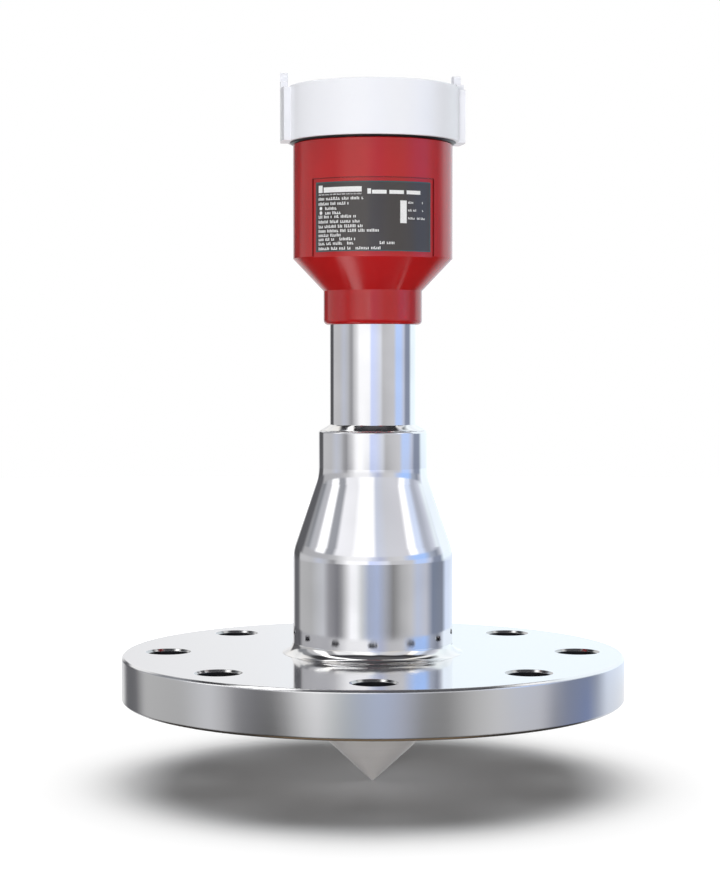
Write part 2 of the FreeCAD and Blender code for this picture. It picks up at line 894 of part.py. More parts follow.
def lid_ears():
    """Two stepped grip ears, alike left and right, as bands round the lid's wall."""
    front_top = lid_top - ear_front_drop
    middle_top = front_top + ear_middle_step
    post_top = middle_top + ear_post_step
    post_front = -ear_back + ear_post_width
    profile = [
        (-ear_back, lid_foot, 0.0),
        (ear_front, lid_foot, 0.0),
        (ear_front, front_top, ear_step_round),
        (ear_middle_front, front_top, 0.0),
        (ear_middle_front, middle_top, ear_step_round),
        (post_front, middle_top, 0.0),
        (post_front, post_top, ear_post_round),
        (-ear_back, post_top, ear_post_round),
    ]
    points = [FreeCAD.Vector(-2 * lid_radius, -forward, height) for forward, height, rounding in profile]
    stepped = flat_shape(points, [rounding for forward, height, rounding in profile])
    block = stepped.extrude(FreeCAD.Vector(4 * lid_radius, 0, 0))
    return block.common(ring(lid_radius - ear_root, lid_radius + ear_reach, lid_foot, post_top))


def lid():
    """Screw lid: cup with a groove for its sealing ring and two grip ears on its wall."""
    groove_top = shoulder_height + 2 * free_gap + lid_seal_section
    ceiling = lid_top - lid_top_thickness
    cup = turned(
        (lid_groove_radius, lid_foot),
        (lid_radius, lid_foot, lid_lip_round),
        (lid_radius, lid_top, lid_edge_round),
        (0, lid_top),
        (0, ceiling),
        (lid_bore_radius, ceiling, lid_inner_round),
        (lid_bore_radius, groove_top),
        (lid_groove_radius, groove_top),
    )
    whole = cup.fuse(lid_ears()).removeSplitter()
    whole.rotate(centre, up, lid_turned)
    return whole


def lid_seal():
    """Sealing ring between the lid and the housing's shoulder."""
    ring_radius = lid_bore_radius + lid_seal_section / 2
    return seal_ring(ring_radius, lid_seal_section, shoulder_height + free_gap + lid_seal_section / 2)


pieces = {
    "flange": flange,
    "reducer": reducer,
    "flange_weld": flange_weld,
    "neck_tube": neck_tube,
    "neck_weld": neck_weld,
    "antenna_cone": antenna_cone,
    "cone_seal": cone_seal,
    "horn_antenna": horn_antenna,
    "waveguide_tube": waveguide_tube,
    "waveguide_spacer": waveguide_spacer,
    "swivel_ring": swivel_ring,
    "housing_body": housing_body,
    "label_plate": label_plate,
    "swivel_seal": swivel_seal,
    "swivel_lock_screw": swivel_lock_screw,
    "electronics_carrier": electronics_carrier,
    "radar_module": radar_module,
    "main_board": main_board,
    "electronics_cover": electronics_cover,
    "carrier_screws": carrier_screws,
    "terminal_block": terminal_block,
    "terminal_screws": terminal_screws,
    "gland_body": gland_body,
    "gland_gasket": gland_gasket,
    "gland_insert": gland_insert,
    "gland_nut": gland_nut,
    "lid": lid,
    "lid_seal": lid_seal,
}

os.makedirs("parts", exist_ok=True)
for name, build in pieces.items():
    shape = build()
    shape.exportStep("parts/" + name + ".step")
    print(name, len(shape.Solids), shape.isValid(), round(shape.Volume))
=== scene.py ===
# %% [markdown]
# # Radar level transmitter
# The device measures the level in a tank. A red plastic housing with a white screw lid stands on a
# polished steel neck. The neck is welded to a reducer, the reducer to a thick flange with eight bolt
# holes, and a pale plastic cone sends the radar wave down through the flange.
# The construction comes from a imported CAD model, which stays as it is. This script gives it its looks:
# a finish for every surface, rippled weld beads, screw threads, and the print on the type plate.
# The first cell loads that model. Every CAD solid arrives as one object in metres.

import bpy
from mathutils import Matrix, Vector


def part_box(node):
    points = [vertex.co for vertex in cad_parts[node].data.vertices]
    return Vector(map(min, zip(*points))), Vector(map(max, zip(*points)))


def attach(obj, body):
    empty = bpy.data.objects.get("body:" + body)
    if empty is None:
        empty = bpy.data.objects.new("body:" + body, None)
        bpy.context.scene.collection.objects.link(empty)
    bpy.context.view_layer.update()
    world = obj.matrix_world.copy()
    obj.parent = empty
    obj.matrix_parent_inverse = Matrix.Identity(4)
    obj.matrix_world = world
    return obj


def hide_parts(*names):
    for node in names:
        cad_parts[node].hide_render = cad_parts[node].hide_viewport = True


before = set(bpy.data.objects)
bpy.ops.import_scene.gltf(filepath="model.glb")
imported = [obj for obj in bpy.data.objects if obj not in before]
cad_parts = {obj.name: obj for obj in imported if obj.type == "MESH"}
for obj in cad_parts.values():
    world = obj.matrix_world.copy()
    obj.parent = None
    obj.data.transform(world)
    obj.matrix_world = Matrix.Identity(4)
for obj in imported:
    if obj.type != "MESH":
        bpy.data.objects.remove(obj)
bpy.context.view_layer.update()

# %% [markdown]
# ## Measuring the model
# Nothing below repeats a CAD size by hand where the model can tell it. A node's box gives the radius
# of a round piece and the heights of its ends, so a new piece fits even if the CAD changes.
# `mm` keeps the small sizes readable, because Blender works in metres.

# %% Sizes read from the model
import math
import random

import bmesh
import bpy
import mathutils

mm = 0.001


def round_piece(node):
    """Outer radius, lower end and upper end of a node that is round about Z."""
    low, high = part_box(node)
    return high.x, low.z, high.z


flange_radius = round_piece("flange")[0]
neck_radius = round_piece("neck_tube")[0]
reducer_radius = round_piece("reducer")[0]
floor_height = round_piece("antenna_cone")[1]
print("flange radius", round(flange_radius, 4), "floor at", round(floor_height, 4))

# %% [markdown]
# ## Camera
# The photograph was taken almost level, from a little under a metre, with a long lens. Its focal
# length and place were fitted to the flange, the lid and the neck. The camera is pitched down by two
# degrees, and its lens follows from the focal length in pixels and the height of the picture. The
# sensor's width lies along the picture's longer side, which here is its height.

# %% Camera at the photograph's place
picture_height = 890
focal_pixels = 2080.0
sensor_height = 36.0
camera_pitch = math.radians(2.194)
camera_place = (-5.6 * mm, -912.0 * mm, 148.0 * mm)

camera_data = bpy.data.cameras.new("photo_camera")
camera_data.sensor_width = sensor_height
camera_data.lens = focal_pixels / picture_height * sensor_height
camera_data.clip_end = 100.0
camera = bpy.data.objects.new("photo_camera", camera_data)
camera.location = camera_place
camera.rotation_euler = (math.pi / 2 - camera_pitch, 0.0, 0.0)
bpy.context.scene.collection.objects.link(camera)
bpy.context.scene.camera = camera
bpy.context.scene.view_settings.view_transform = "Standard"
print("lens", round(camera_data.lens, 2), "mm")

# %% [markdown]
# ## A short way to write node trees
# Materials, the studio's backdrop and the Geometry Nodes all are trees of nodes. One helper adds a
# node, sets its properties and fills its inputs: a socket is linked, a number or colour is written.
# The smaller ones stand for the nodes that come back again and again, so a tree reads like a formula.

# %% Helpers for node trees
def place(tree, kind, sockets=None, **properties):
    """Adds a node. A socket given for an input is linked, any other value is written on it."""
    node = tree.nodes.new(kind)
    for name, value in properties.items():
        setattr(node, name, value)
    for name, value in (sockets or {}).items():
        if isinstance(value, bpy.types.NodeSocket):
            tree.links.new(value, node.inputs[name])
        else:
            node.inputs[name].default_value = value
    return node


def surface_axes(tree):
    """The three coordinates of a point on the surface, as separate values."""
    spot = place(tree, "ShaderNodeTexCoord").outputs["Object"]
    return place(tree, "ShaderNodeSeparateXYZ", {0: spot}).outputs


def vertex_axes(tree):
    """The three coordinates of a vertex in a Geometry Nodes tree, as separate values."""
    spot = place(tree, "GeometryNodeInputPosition").outputs[0]
    return place(tree, "ShaderNodeSeparateXYZ", {0: spot}).outputs


def calculate(tree, operation, *values, clamp=False):
    """One Math node. Returns its output."""
    sockets = {index: value for index, value in enumerate(values)}
    return place(tree, "ShaderNodeMath", sockets, operation=operation, use_clamp=clamp).outputs[0]


def ramp_between(tree, value, low, high, to_low=0.0, to_high=1.0):
    """Smooth step from to_low to to_high while the value goes from low to high."""
    sockets = {"Value": value, "From Min": low, "From Max": high, "To Min": to_low, "To Max": to_high}
    return place(tree, "ShaderNodeMapRange", sockets, interpolation_type="SMOOTHSTEP").outputs["Result"]


def mix_colours(tree, share, first, second):
    """First colour where the share is 0, second where it is 1."""
    node = place(tree, "ShaderNodeMix", {0: share, 6: first, 7: second}, data_type="RGBA")
    return node.outputs[2]


def mix_values(tree, share, first, second):
    """First value where the share is 0, second where it is 1."""
    return place(tree, "ShaderNodeMix", {0: share, 2: first, 3: second}, data_type="FLOAT").outputs[0]


# %% [markdown]
# ## Studio light
# Polished steel has no colour of its own to show: it shows the room. On the real tube stand clear
# upright bands, a bright sheet of paper in front, a cool window at the right, and dark gaps between
# them. Real cards round the object would stand in the way in other views. So the world itself holds
# the bands, as a colour ramp over the compass direction of the ray, and only glossy rays see them.
# All other rays meet an even soft light, and the camera sees plain white.

# %% The studio's walls as colours by compass direction
level_bands = [
    (-180, (0.90, 0.90, 0.91)),
    (-163, (0.93, 0.93, 0.94)),
    (-156, (0.11, 0.11, 0.115)),
    (-134, (0.11, 0.11, 0.115)),
    (-128, (0.66, 0.66, 0.67)),
    (-100, (0.64, 0.64, 0.65)),
    (-84, (0.65, 0.68, 0.77)),
    (-70, (0.60, 0.61, 0.64)),
    (-64, (0.45, 0.45, 0.46)),
    (-58, (0.38, 0.38, 0.39)),
    (-52, (0.70, 0.70, 0.71)),
    (-44, (0.93, 0.93, 0.94)),
    (-36, (1.30, 1.30, 1.30)),
    (-9, (1.30, 1.30, 1.30)),
    (-4, (0.82, 0.92, 1.27)),
    (6, (0.84, 0.92, 1.20)),
    (20, (0.90, 0.93, 1.00)),
    (27, (0.66, 0.66, 0.67)),
    (58, (0.72, 0.72, 0.74)),
    (66, (0.62, 0.80, 1.20)),
    (80, (0.62, 0.80, 1.20)),
    (91, (0.68, 0.73, 0.88)),
    (99, (0.30, 0.34, 0.44)),
    (114, (0.30, 0.34, 0.44)),
    (124, (1.05, 1.18, 1.25)),
    (180, (1.08, 1.17, 1.25)),
]
low_bands = [
    (-180, (0.90, 0.90, 0.90)),
    (-160, (0.80, 0.80, 0.82)),
    (-150, (0.14, 0.14, 0.15)),
    (-136, (0.16, 0.16, 0.17)),
    (-126, (0.54, 0.54, 0.54)),
    (-100, (0.52, 0.52, 0.52)),
    (-84, (0.62, 0.63, 0.65)),
    (-76, (0.65, 0.66, 0.69)),
    (-66, (0.37, 0.37, 0.39)),
    (-52, (0.24, 0.24, 0.26)),
    (-46, (0.36, 0.36, 0.37)),
    (-40, (0.68, 0.68, 0.69)),
    (-31, (1.22, 1.22, 1.24)),
    (-24, (1.20, 1.21, 1.22)),
    (-16, (0.77, 0.79, 0.80)),
    (-6, (0.48, 0.54, 0.70)),
    (6, (0.50, 0.58, 0.80)),
    (18, (0.47, 0.49, 0.55)),
    (29, (0.28, 0.28, 0.28)),
    (42, (0.52, 0.52, 0.52)),
    (56, (0.66, 0.66, 0.67)),
    (67, (0.61, 0.67, 0.82)),
    (82, (0.62, 0.64, 0.72)),
    (96, (0.24, 0.28, 0.37)),
    (119, (0.26, 0.29, 0.36)),
    (130, (0.80, 0.90, 1.10)),
    (180, (0.92, 1.02, 1.12)),
]
rim_bands = [
    (-180, (0.90, 0.90, 0.90)),
    (-158, (0.80, 0.80, 0.80)),
    (-150, (0.15, 0.15, 0.16)),
    (-134, (0.15, 0.15, 0.16)),
    (-124, (0.52, 0.52, 0.52)),
    (-94, (0.47, 0.47, 0.47)),
    (-78, (0.66, 0.66, 0.68)),
    (-69, (0.52, 0.52, 0.53)),
    (-62, (0.24, 0.24, 0.25)),
    (-45, (0.09, 0.09, 0.09)),
    (-39, (0.17, 0.17, 0.17)),
    (-33, (0.40, 0.40, 0.40)),
    (-25, (0.65, 0.65, 0.66)),
    (-18, (0.51, 0.52, 0.53)),
    (-11, (0.40, 0.43, 0.45)),
    (2, (0.45, 0.50, 0.62)),
    (12, (0.41, 0.43, 0.50)),
    (22, (0.24, 0.24, 0.24)),
    (32, (0.25, 0.25, 0.25)),
    (46, (0.54, 0.54, 0.54)),
    (56, (0.64, 0.64, 0.65)),
    (79, (0.57, 0.57, 0.60)),
    (88, (0.28, 0.29, 0.33)),
    (98, (0.24, 0.27, 0.38)),
    (112, (0.20, 0.26, 0.46)),
    (121, (0.42, 0.46, 0.56)),
    (131, (0.72, 0.77, 0.86)),
    (180, (0.95, 0.95, 0.95)),
]
mid_bands = [
    (-180, (0.94, 0.95, 0.97)),
    (-172, (0.87, 0.87, 0.88)),
    (-162, (0.86, 0.86, 0.87)),
    (-156, (0.13, 0.13, 0.14)),
    (-130, (0.14, 0.14, 0.15)),
    (-121, (0.52, 0.52, 0.53)),
    (-70, (0.56, 0.56, 0.58)),
    (-56, (0.66, 0.66, 0.67)),
    (-48, (0.84, 0.84, 0.85)),
    (-36, (1.12, 1.12, 1.12)),
    (-10, (1.15, 1.15, 1.16)),
    (0, (0.80, 0.85, 1.00)),
    (10, (0.58, 0.62, 0.80)),
    (24, (0.70, 0.70, 0.71)),
    (43, (0.78, 0.78, 0.79)),
    (54, (0.60, 0.72, 1.00)),
    (64, (0.50, 0.73, 1.22)),
    (80, (0.50, 0.73, 1.22)),
    (92, (0.48, 0.53, 0.64)),
    (106, (0.30, 0.33, 0.40)),
    (114, (0.55, 0.58, 0.66)),
    (124, (1.10, 1.20, 1.30)),
    (180, (0.99, 1.08, 1.15)),
]
high_bands = [
    (-180, (1.05, 1.05, 1.05)),
    (-140, (0.95, 0.95, 0.95)),
    (-132, (0.28, 0.29, 0.31)),
    (-116, (0.30, 0.31, 0.33)),
    (-108, (0.60, 0.61, 0.64)),
    (-98, (0.64, 0.64, 0.67)),
    (-93, (1.50, 1.50, 1.50)),
    (-79, (1.50, 1.50, 1.50)),
    (-74, (0.42, 0.43, 0.46)),
    (-63, (0.40, 0.41, 0.44)),
    (-56, (1.12, 1.12, 1.15)),
    (-34, (1.08, 1.08, 1.10)),
    (-26, (1.35, 1.35, 1.35)),
    (0, (1.35, 1.35, 1.35)),
    (6, (0.74, 0.79, 0.92)),
    (24, (0.76, 0.77, 0.81)),
    (54, (0.80, 0.80, 0.84)),
    (59, (1.50, 1.50, 1.50)),
    (68, (1.50, 1.50, 1.50)),
    (73, (0.88, 0.98, 1.20)),
    (80, (0.86, 0.97, 1.20)),
    (88, (0.56, 0.59, 0.68)),
    (94, (0.54, 0.57, 0.65)),
    (106, (0.74, 0.77, 0.87)),
    (116, (1.05, 1.15, 1.20)),
    (180, (1.10, 1.15, 1.20)),
]
under_bands = [
    (-180, (0.20, 0.15, 0.10)),
    (0, (0.16, 0.11, 0.07)),
    (180, (0.20, 0.15, 0.10)),
]
shade_bands = [
    (-180, (0.05, 0.045, 0.04)),
    (0, (0.04, 0.035, 0.03)),
    (180, (0.05, 0.045, 0.04)),
]
ceiling_bands = [
    (-180, (0.05, 0.05, 0.055)),
    (-108, (0.05, 0.05, 0.055)),
    (-97, (2.50, 2.50, 2.50)),
    (-87, (2.50, 2.50, 2.50)),
    (-76, (0.05, 0.05, 0.055)),
    (98, (0.05, 0.05, 0.055)),
    (109, (1.20, 1.20, 1.20)),
    (117, (1.20, 1.20, 1.20)),
    (128, (0.05, 0.05, 0.055)),
    (180, (0.05, 0.05, 0.055)),
]
zenith_bands = [
    (-180, (0.18, 0.18, 0.19)),
    (-108, (0.16, 0.16, 0.17)),
    (-97, (2.50, 2.50, 2.50)),
    (-87, (2.50, 2.50, 2.50)),
    (-76, (0.12, 0.12, 0.13)),
    (98, (0.12, 0.12, 0.13)),
    (109, (1.20, 1.20, 1.20)),
    (117, (1.20, 1.20, 1.20)),
    (128, (0.16, 0.16, 0.17)),
    (180, (0.18, 0.18, 0.19)),
]
wall_brightest = 2.5
seam_reach = 2.5


def closed_round(bands):
    """The same bands with a soft step behind the object, where the two ends of the ramp meet."""
    (start, first), (end, last) = bands[0], bands[-1]
    between = tuple((left + right) / 2 for left, right in zip(first, last))
    left_end = [(start, between), (start + seam_reach, first)]
    right_end = [(end - seam_reach, last), (end, between)]
    return [*left_end, *bands[1:-1], *right_end]


def band_ramp(tree, share, bands):
    """Colour ramp of one row of bands. Ramps hold at most 1, so the colours are scaled down."""
    bands = closed_round(bands)
    ramp = place(tree, "ShaderNodeValToRGB", {"Fac": share})
    elements = ramp.color_ramp.elements
    while len(elements) > 1:
        elements.remove(elements[-1])
    for index, (degrees, colour) in enumerate(bands):
        spot = (degrees + 180) / 360
        element = elements[0] if index == 0 else elements.new(spot)
        element.position = spot
        element.color = (*[part / wall_brightest for part in colour], 1.0)
    return ramp.outputs["Color"]


print("bands at eye level", len(level_bands))

# %% [markdown]
# The bands change with height: above eye level they are brighter and have two narrow strip lights,
# and towards the floor they get darker. The ceiling is dark with two lamps, which draws dark lines
# into every hollow weld and chamfer, and straight up it is a little lighter, so that the flange
# doesn't look black from above. Nine ramps are mixed one into the next by the height at which the
# ray leaves.

# %% World
def studio_walls(tree):
    ray = place(tree, "ShaderNodeTexCoord").outputs["Generated"]
    axes = place(tree, "ShaderNodeSeparateXYZ", {0: ray}).outputs
    towards_camera = calculate(tree, "MULTIPLY", axes["Y"], -1.0)
    compass = calculate(tree, "ARCTAN2", axes["X"], towards_camera)
    share = calculate(tree, "MULTIPLY_ADD", compass, 0.5 / math.pi, 0.5)
    walls = band_ramp(tree, share, under_bands)
    rows = [
        (-0.95, -0.85, shade_bands),
        (-0.60, -0.35, rim_bands),
        (-0.155, -0.14, low_bands),
        (-0.09, -0.02, level_bands),
        (0.03, 0.10, mid_bands),
        (0.20, 0.28, high_bands),
        (0.62, 0.74, ceiling_bands),
        (0.82, 0.92, zenith_bands),
    ]
    for foot, top, bands in rows:
        above = ramp_between(tree, axes["Z"], foot, top)
        walls = mix_colours(tree, above, walls, band_ramp(tree, share, bands))
    return walls


fill_strength = 0.14

world = bpy.data.worlds.new("studio")
world.use_nodes = True
bpy.context.scene.world = world
tree = world.node_tree
tree.nodes.clear()
path = place(tree, "ShaderNodeLightPath").outputs
fill = place(tree, "ShaderNodeBackground", {"Color": (1.0, 1.0, 1.0, 1.0), "Strength": fill_strength})
walls = place(tree, "ShaderNodeBackground", {"Color": studio_walls(tree), "Strength": wall_brightest})
white = place(tree, "ShaderNodeBackground", {"Color": (1.0, 1.0, 1.0, 1.0), "Strength": 1.0})
by_glossy_rays = {0: path["Is Glossy Ray"], 1: fill.outputs[0], 2: walls.outputs[0]}
shiny = place(tree, "ShaderNodeMixShader", by_glossy_rays)
by_camera_rays = {0: path["Is Camera Ray"], 1: shiny.outputs[0], 2: white.outputs[0]}
seen = place(tree, "ShaderNodeMixShader", by_camera_rays)
place(tree, "ShaderNodeOutputWorld", {"Surface": seen.outputs[0]})
print("world nodes", len(tree.nodes))

# %% [markdown]
# One very large soft lamp hangs overhead: it lights what faces up and lays the flange's shadow on the
# floor, with an edge as wide as a hand's breadth. A lower one beside the camera makes the lid's wall
# brightest in front, and three weak ones keep the sides and the back from falling off. Their power
# stays low enough that a colour renders about as it is written. They are left out of reflections,
# because the bands already show where the light comes from.

# %% Soft lamps
def soft_lamp(name, spot, target, size, power):
    """Square area lamp that points from its spot to the target."""
    data = bpy.data.lights.new(name, "AREA")
    data.shape = "SQUARE"
    data.size = size
    data.energy = power
    lamp = bpy.data.objects.new(name, data)
    lamp.location = spot
    direction = [there - here for here, there in zip(spot, target)]
    lamp.rotation_euler = mathutils.Vector(direction).to_track_quat("-Z", "Y").to_euler()
    lamp.visible_glossy = False
    lamp.visible_camera = False
    bpy.context.scene.collection.objects.link(lamp)
    return lamp


soft_lamp("overhead", (0.0, 0.05, 2.2), (0.0, 0.0, 0.1), 2.9, 52.0)
soft_lamp("front", (-0.35, -2.0, 0.13), (0.0, 0.0, 0.15), 0.3, 19.5)
soft_lamp("left", (-2.0, -0.4, 0.13), (0.0, 0.0, 0.15), 0.3, 2.2)
soft_lamp("right", (2.0, -0.4, 0.13), (0.0, 0.0, 0.15), 0.3, 5.2)
soft_lamp("back", (0.2, 2.0, 0.13), (0.0, 0.0, 0.15), 0.3, 9.0)
print("lamps", len(bpy.data.lights))

# %% [markdown]
# The floor is plain pale paper. Close to the object it must keep the soft shadow, and farther out it
# has to melt into the white background. A real sweep of paper does that by over-lighting. Here the
# paper gives off a little light of its own, but only for camera rays, so nothing on the object gets
# brighter. It starts under the flange's rim and grows with the distance, and further in, below the
# flange, the paper's colour is darker as a painted shadow. Glossy rays pass the paper, because the
# bands of the studio go on below the object on the polished steel.

# %% Floor
floor_radius = 2.5
floor_mesh = bpy.data.meshes.new("floor")
sheet = bmesh.new()
bmesh.ops.create_circle(sheet, cap_ends=True, segments=96, radius=floor_radius)
sheet.to_mesh(floor_mesh)
sheet.free()
floor_mesh.transform(mathutils.Matrix.Translation((0.0, 0.0, floor_height)))
floor = bpy.data.objects.new("floor", floor_mesh)
bpy.context.scene.collection.objects.link(floor)

paper = bpy.data.materials.new("pale_paper")
paper.use_nodes = True
tree = paper.node_tree
tree.nodes.clear()
path = place(tree, "ShaderNodeLightPath").outputs
spot = place(tree, "ShaderNodeTexCoord").outputs["Object"]
distance = place(tree, "ShaderNodeVectorMath", {0: spot}, operation="LENGTH").outputs["Value"]
near_glow = ramp_between(tree, distance, 0.092, 0.14, 0.01, 0.25)
glow = calculate(tree, "ADD", near_glow, ramp_between(tree, distance, 0.13, 0.40, 0.0, 0.8))
strength = calculate(tree, "MULTIPLY", glow, path["Is Camera Ray"])
# Below the flange the paper's colour is darker, a painted shadow.
in_the_open = ramp_between(tree, distance, 0.10, 0.13)
paper_with_painted_shadow = mix_colours(tree, in_the_open, (0.80, 0.81, 0.82, 1.0), (0.88, 0.88, 0.88, 1.0))
surface = place(tree, "ShaderNodeBsdfDiffuse", {"Color": paper_with_painted_shadow})
light = place(tree, "ShaderNodeEmission", {"Strength": strength})
both = place(tree, "ShaderNodeAddShader", {0: surface.outputs[0], 1: light.outputs[0]})
place(tree, "ShaderNodeOutputMaterial", {"Surface": both.outputs[0]})
floor_mesh.materials.append(paper)
floor.visible_glossy = False
print("floor radius", floor_radius)

# %% [markdown]
# ## Shared surface effects
# Many finishes here share the same small effects: moulded grain, turning lines, bright worn edges and
# a trace of dust. Each is a shader node group, built once and used in several materials with its own
# values. A group gives back only masks and heights, and each material decides what to do with them.

# %% A helper that starts a shader group
def shader_group(name, inputs, outputs):
    """Empty group tree with float sockets. Returns the tree, its input sockets and its output node."""
    tree = bpy.data.node_groups.new(name, "ShaderNodeTree")
    for label, value in inputs.items():
        socket = tree.interface.new_socket(label, in_out="INPUT", socket_type="NodeSocketFloat")
        socket.default_value = value
    for label in outputs:
        tree.interface.new_socket(label, in_out="OUTPUT", socket_type="NodeSocketFloat")
    entry = tree.nodes.new("NodeGroupInput")
    leave = tree.nodes.new("NodeGroupOutput")
    return tree, entry.outputs, leave


def use_group(tree, group, **values):
    """Puts a group into a material and returns its outputs. Words in the names are joined by _."""
    sockets = {name.replace("_", " "): value for name, value in values.items()}
    node = tree.nodes.new("ShaderNodeGroup")
    node.node_tree = group
    for name, value in sockets.items():
        node.inputs[name].default_value = value
    return node.outputs


# %% [markdown]
# Moulded plastic keeps the fine skin of the spark-eroded mould: grains of some tenths of a
# millimetre. A noise texture on Object coordinates gives them a real size in metres. A second, much
# larger noise makes clouds, for the slight change of tone over a big surface.

# %% Group: moulded grain
def moulded_grain():
    tree, given, leave = shader_group("moulded_grain", {"Grain Size": 0.5 * mm}, ["Height", "Cloud"])
    spot = place(tree, "ShaderNodeTexCoord").outputs["Object"]
    scale = calculate(tree, "DIVIDE", 1.0, given["Grain Size"])
    small = {"Vector": spot, "Scale": scale, "Detail": 2.0, "Roughness": 0.6}
    fine = place(tree, "ShaderNodeTexNoise", small)
    broad = place(tree, "ShaderNodeTexNoise", {"Vector": spot, "Scale": 38.0, "Detail": 2.0})
    tree.links.new(fine.outputs[0], leave.inputs["Height"])
    tree.links.new(broad.outputs[0], leave.inputs["Cloud"])
    return tree


grain_group = moulded_grain()
print(grain_group.name, "nodes", len(grain_group.nodes))

# %% [markdown]
# A lathe leaves fine rings. On a face that looks up or down they differ by their radius, and on an
# upright wall by their height. The group takes the one or the other from the surface's direction and
# feeds it to a one-dimensional noise, so that the rings run truly round. It gives the height of the
# fine lines, a broader streak for the roughness, whether a face lies flat or stands steep (a chamfer
# does both), and the radius itself, which tells the inside of a hole from the rim.

# %% Group: turning lines
def turning_lines():
    outputs = ["Height", "Streak", "Flat", "Steep", "Radius"]
    tree, given, leave = shader_group("turning_lines", {"Line Spacing": 0.25 * mm}, outputs)
    coordinates = place(tree, "ShaderNodeTexCoord").outputs
    axes = place(tree, "ShaderNodeSeparateXYZ", {0: coordinates["Object"]}).outputs
    facing = place(tree, "ShaderNodeSeparateXYZ", {0: coordinates["Normal"]}).outputs
    square_x = calculate(tree, "POWER", axes["X"], 2.0)
    square_y = calculate(tree, "POWER", axes["Y"], 2.0)
    radius = calculate(tree, "SQRT", calculate(tree, "ADD", square_x, square_y))
    upward = calculate(tree, "ABSOLUTE", facing["Z"])
    flat = ramp_between(tree, upward, 0.4, 0.6)
    along = mix_values(tree, flat, axes["Z"], radius)
    lines = calculate(tree, "DIVIDE", along, given["Line Spacing"])
    fine = place(tree, "ShaderNodeTexNoise", {"W": lines, "Scale": 1.0, "Detail": 3.0}, noise_dimensions="1D")
    slow = calculate(tree, "MULTIPLY", lines, 0.12)
    broad = {"W": slow, "Scale": 1.0, "Detail": 1.0}
    streak = place(tree, "ShaderNodeTexNoise", broad, noise_dimensions="1D")
    tree.links.new(fine.outputs[0], leave.inputs["Height"])
    tree.links.new(streak.outputs[0], leave.inputs["Streak"])
    tree.links.new(flat, leave.inputs["Flat"])
    tree.links.new(ramp_between(tree, upward, 0.9, 0.8), leave.inputs["Steep"])
    tree.links.new(radius, leave.inputs["Radius"])
    return tree


turning_group = turning_lines()
print(turning_group.name, "nodes", len(turning_group.nodes))

# %% [markdown]
# Handling polishes sharp edges and rubs them a little lighter. The Bevel node returns the normal that
# a rounded edge would have. Where it differs from the true normal, there is an edge within reach, so
# the difference is a mask of the edges. A little noise breaks it up.

# %% Group: worn edges
def worn_edges():
    tree, given, leave = shader_group("worn_edges", {"Edge Width": 0.4 * mm}, ["Edge"])
    rounded = place(tree, "ShaderNodeBevel", {"Radius": given["Edge Width"]}, samples=4).outputs[0]
    true_normal = place(tree, "ShaderNodeNewGeometry").outputs["Normal"]
    alike = place(tree, "ShaderNodeVectorMath", {0: rounded, 1: true_normal}, operation="DOT_PRODUCT")
    edge = ramp_between(tree, alike.outputs["Value"], 0.99, 0.85)
    spot = place(tree, "ShaderNodeTexCoord").outputs["Object"]
    patches = place(tree, "ShaderNodeTexNoise", {"Vector": spot, "Scale": 220.0, "Detail": 3.0}).outputs[0]
    broken = calculate(tree, "MULTIPLY", edge, ramp_between(tree, patches, 0.35, 0.6, 0.75, 1.0))
    tree.links.new(broken, leave.inputs["Edge"])
    return tree


edge_group = worn_edges()
print(edge_group.name, "nodes", len(edge_group.nodes))

# %% [markdown]
# Even in a clean studio some dust settles on what faces up. The mask is the upward share of the
# normal, broken by noise of two sizes.

# %% Group: settled dust
def settled_dust():
    tree, given, leave = shader_group("settled_dust", {"Amount": 0.15}, ["Dust"])
    coordinates = place(tree, "ShaderNodeTexCoord").outputs
    facing = place(tree, "ShaderNodeSeparateXYZ", {0: coordinates["Normal"]}).outputs["Z"]
    upward = ramp_between(tree, facing, 0.55, 0.95)
    spot = coordinates["Object"]
    specks = place(tree, "ShaderNodeTexNoise", {"Vector": spot, "Scale": 900.0, "Detail": 2.0})
    drifts = place(tree, "ShaderNodeTexNoise", {"Vector": spot, "Scale": 45.0, "Detail": 3.0})
    speckled = calculate(tree, "MULTIPLY", ramp_between(tree, specks.outputs[0], 0.4, 0.7), drifts.outputs[0])
    dust = calculate(tree, "MULTIPLY", calculate(tree, "MULTIPLY", upward, speckled), given["Amount"])
    tree.links.new(dust, leave.inputs["Dust"])
    return tree


dust_group = settled_dust()
print(dust_group.name, "nodes", len(dust_group.nodes))

# %% [markdown]
# ## Finishes
# Each material is a Principled shader with its own small tree. The helper starts one with its fixed
# values on the shader's own sockets. What varies over the surface is linked to Base Color, Roughness
# and Normal afterwards.

# %% Starting a material
def start_finish(name, **fixed):
    """New material with a Principled shader. Words in the socket names are joined by _."""
    material = bpy.data.materials.new(name)
    material.use_nodes = True
    tree = material.node_tree
    tree.nodes.clear()
    sockets = {label.replace("_", " "): value for label, value in fixed.items()}
    shader = place(tree, "ShaderNodeBsdfPrincipled", sockets)
    place(tree, "ShaderNodeOutputMaterial", {"Surface": shader.outputs[0]})
    return material, tree, shader


def bump(tree, shader, height, depth, strength=1.0):
    """Links a height, as deep as given in metres, to the shader's normal."""
    node = place(tree, "ShaderNodeBump", {"Height": height, "Distance": depth, "Strength": strength})
    tree.links.new(node.outputs[0], shader.inputs["Normal"])


def grey(value):
    return (value, value, value, 1.0)
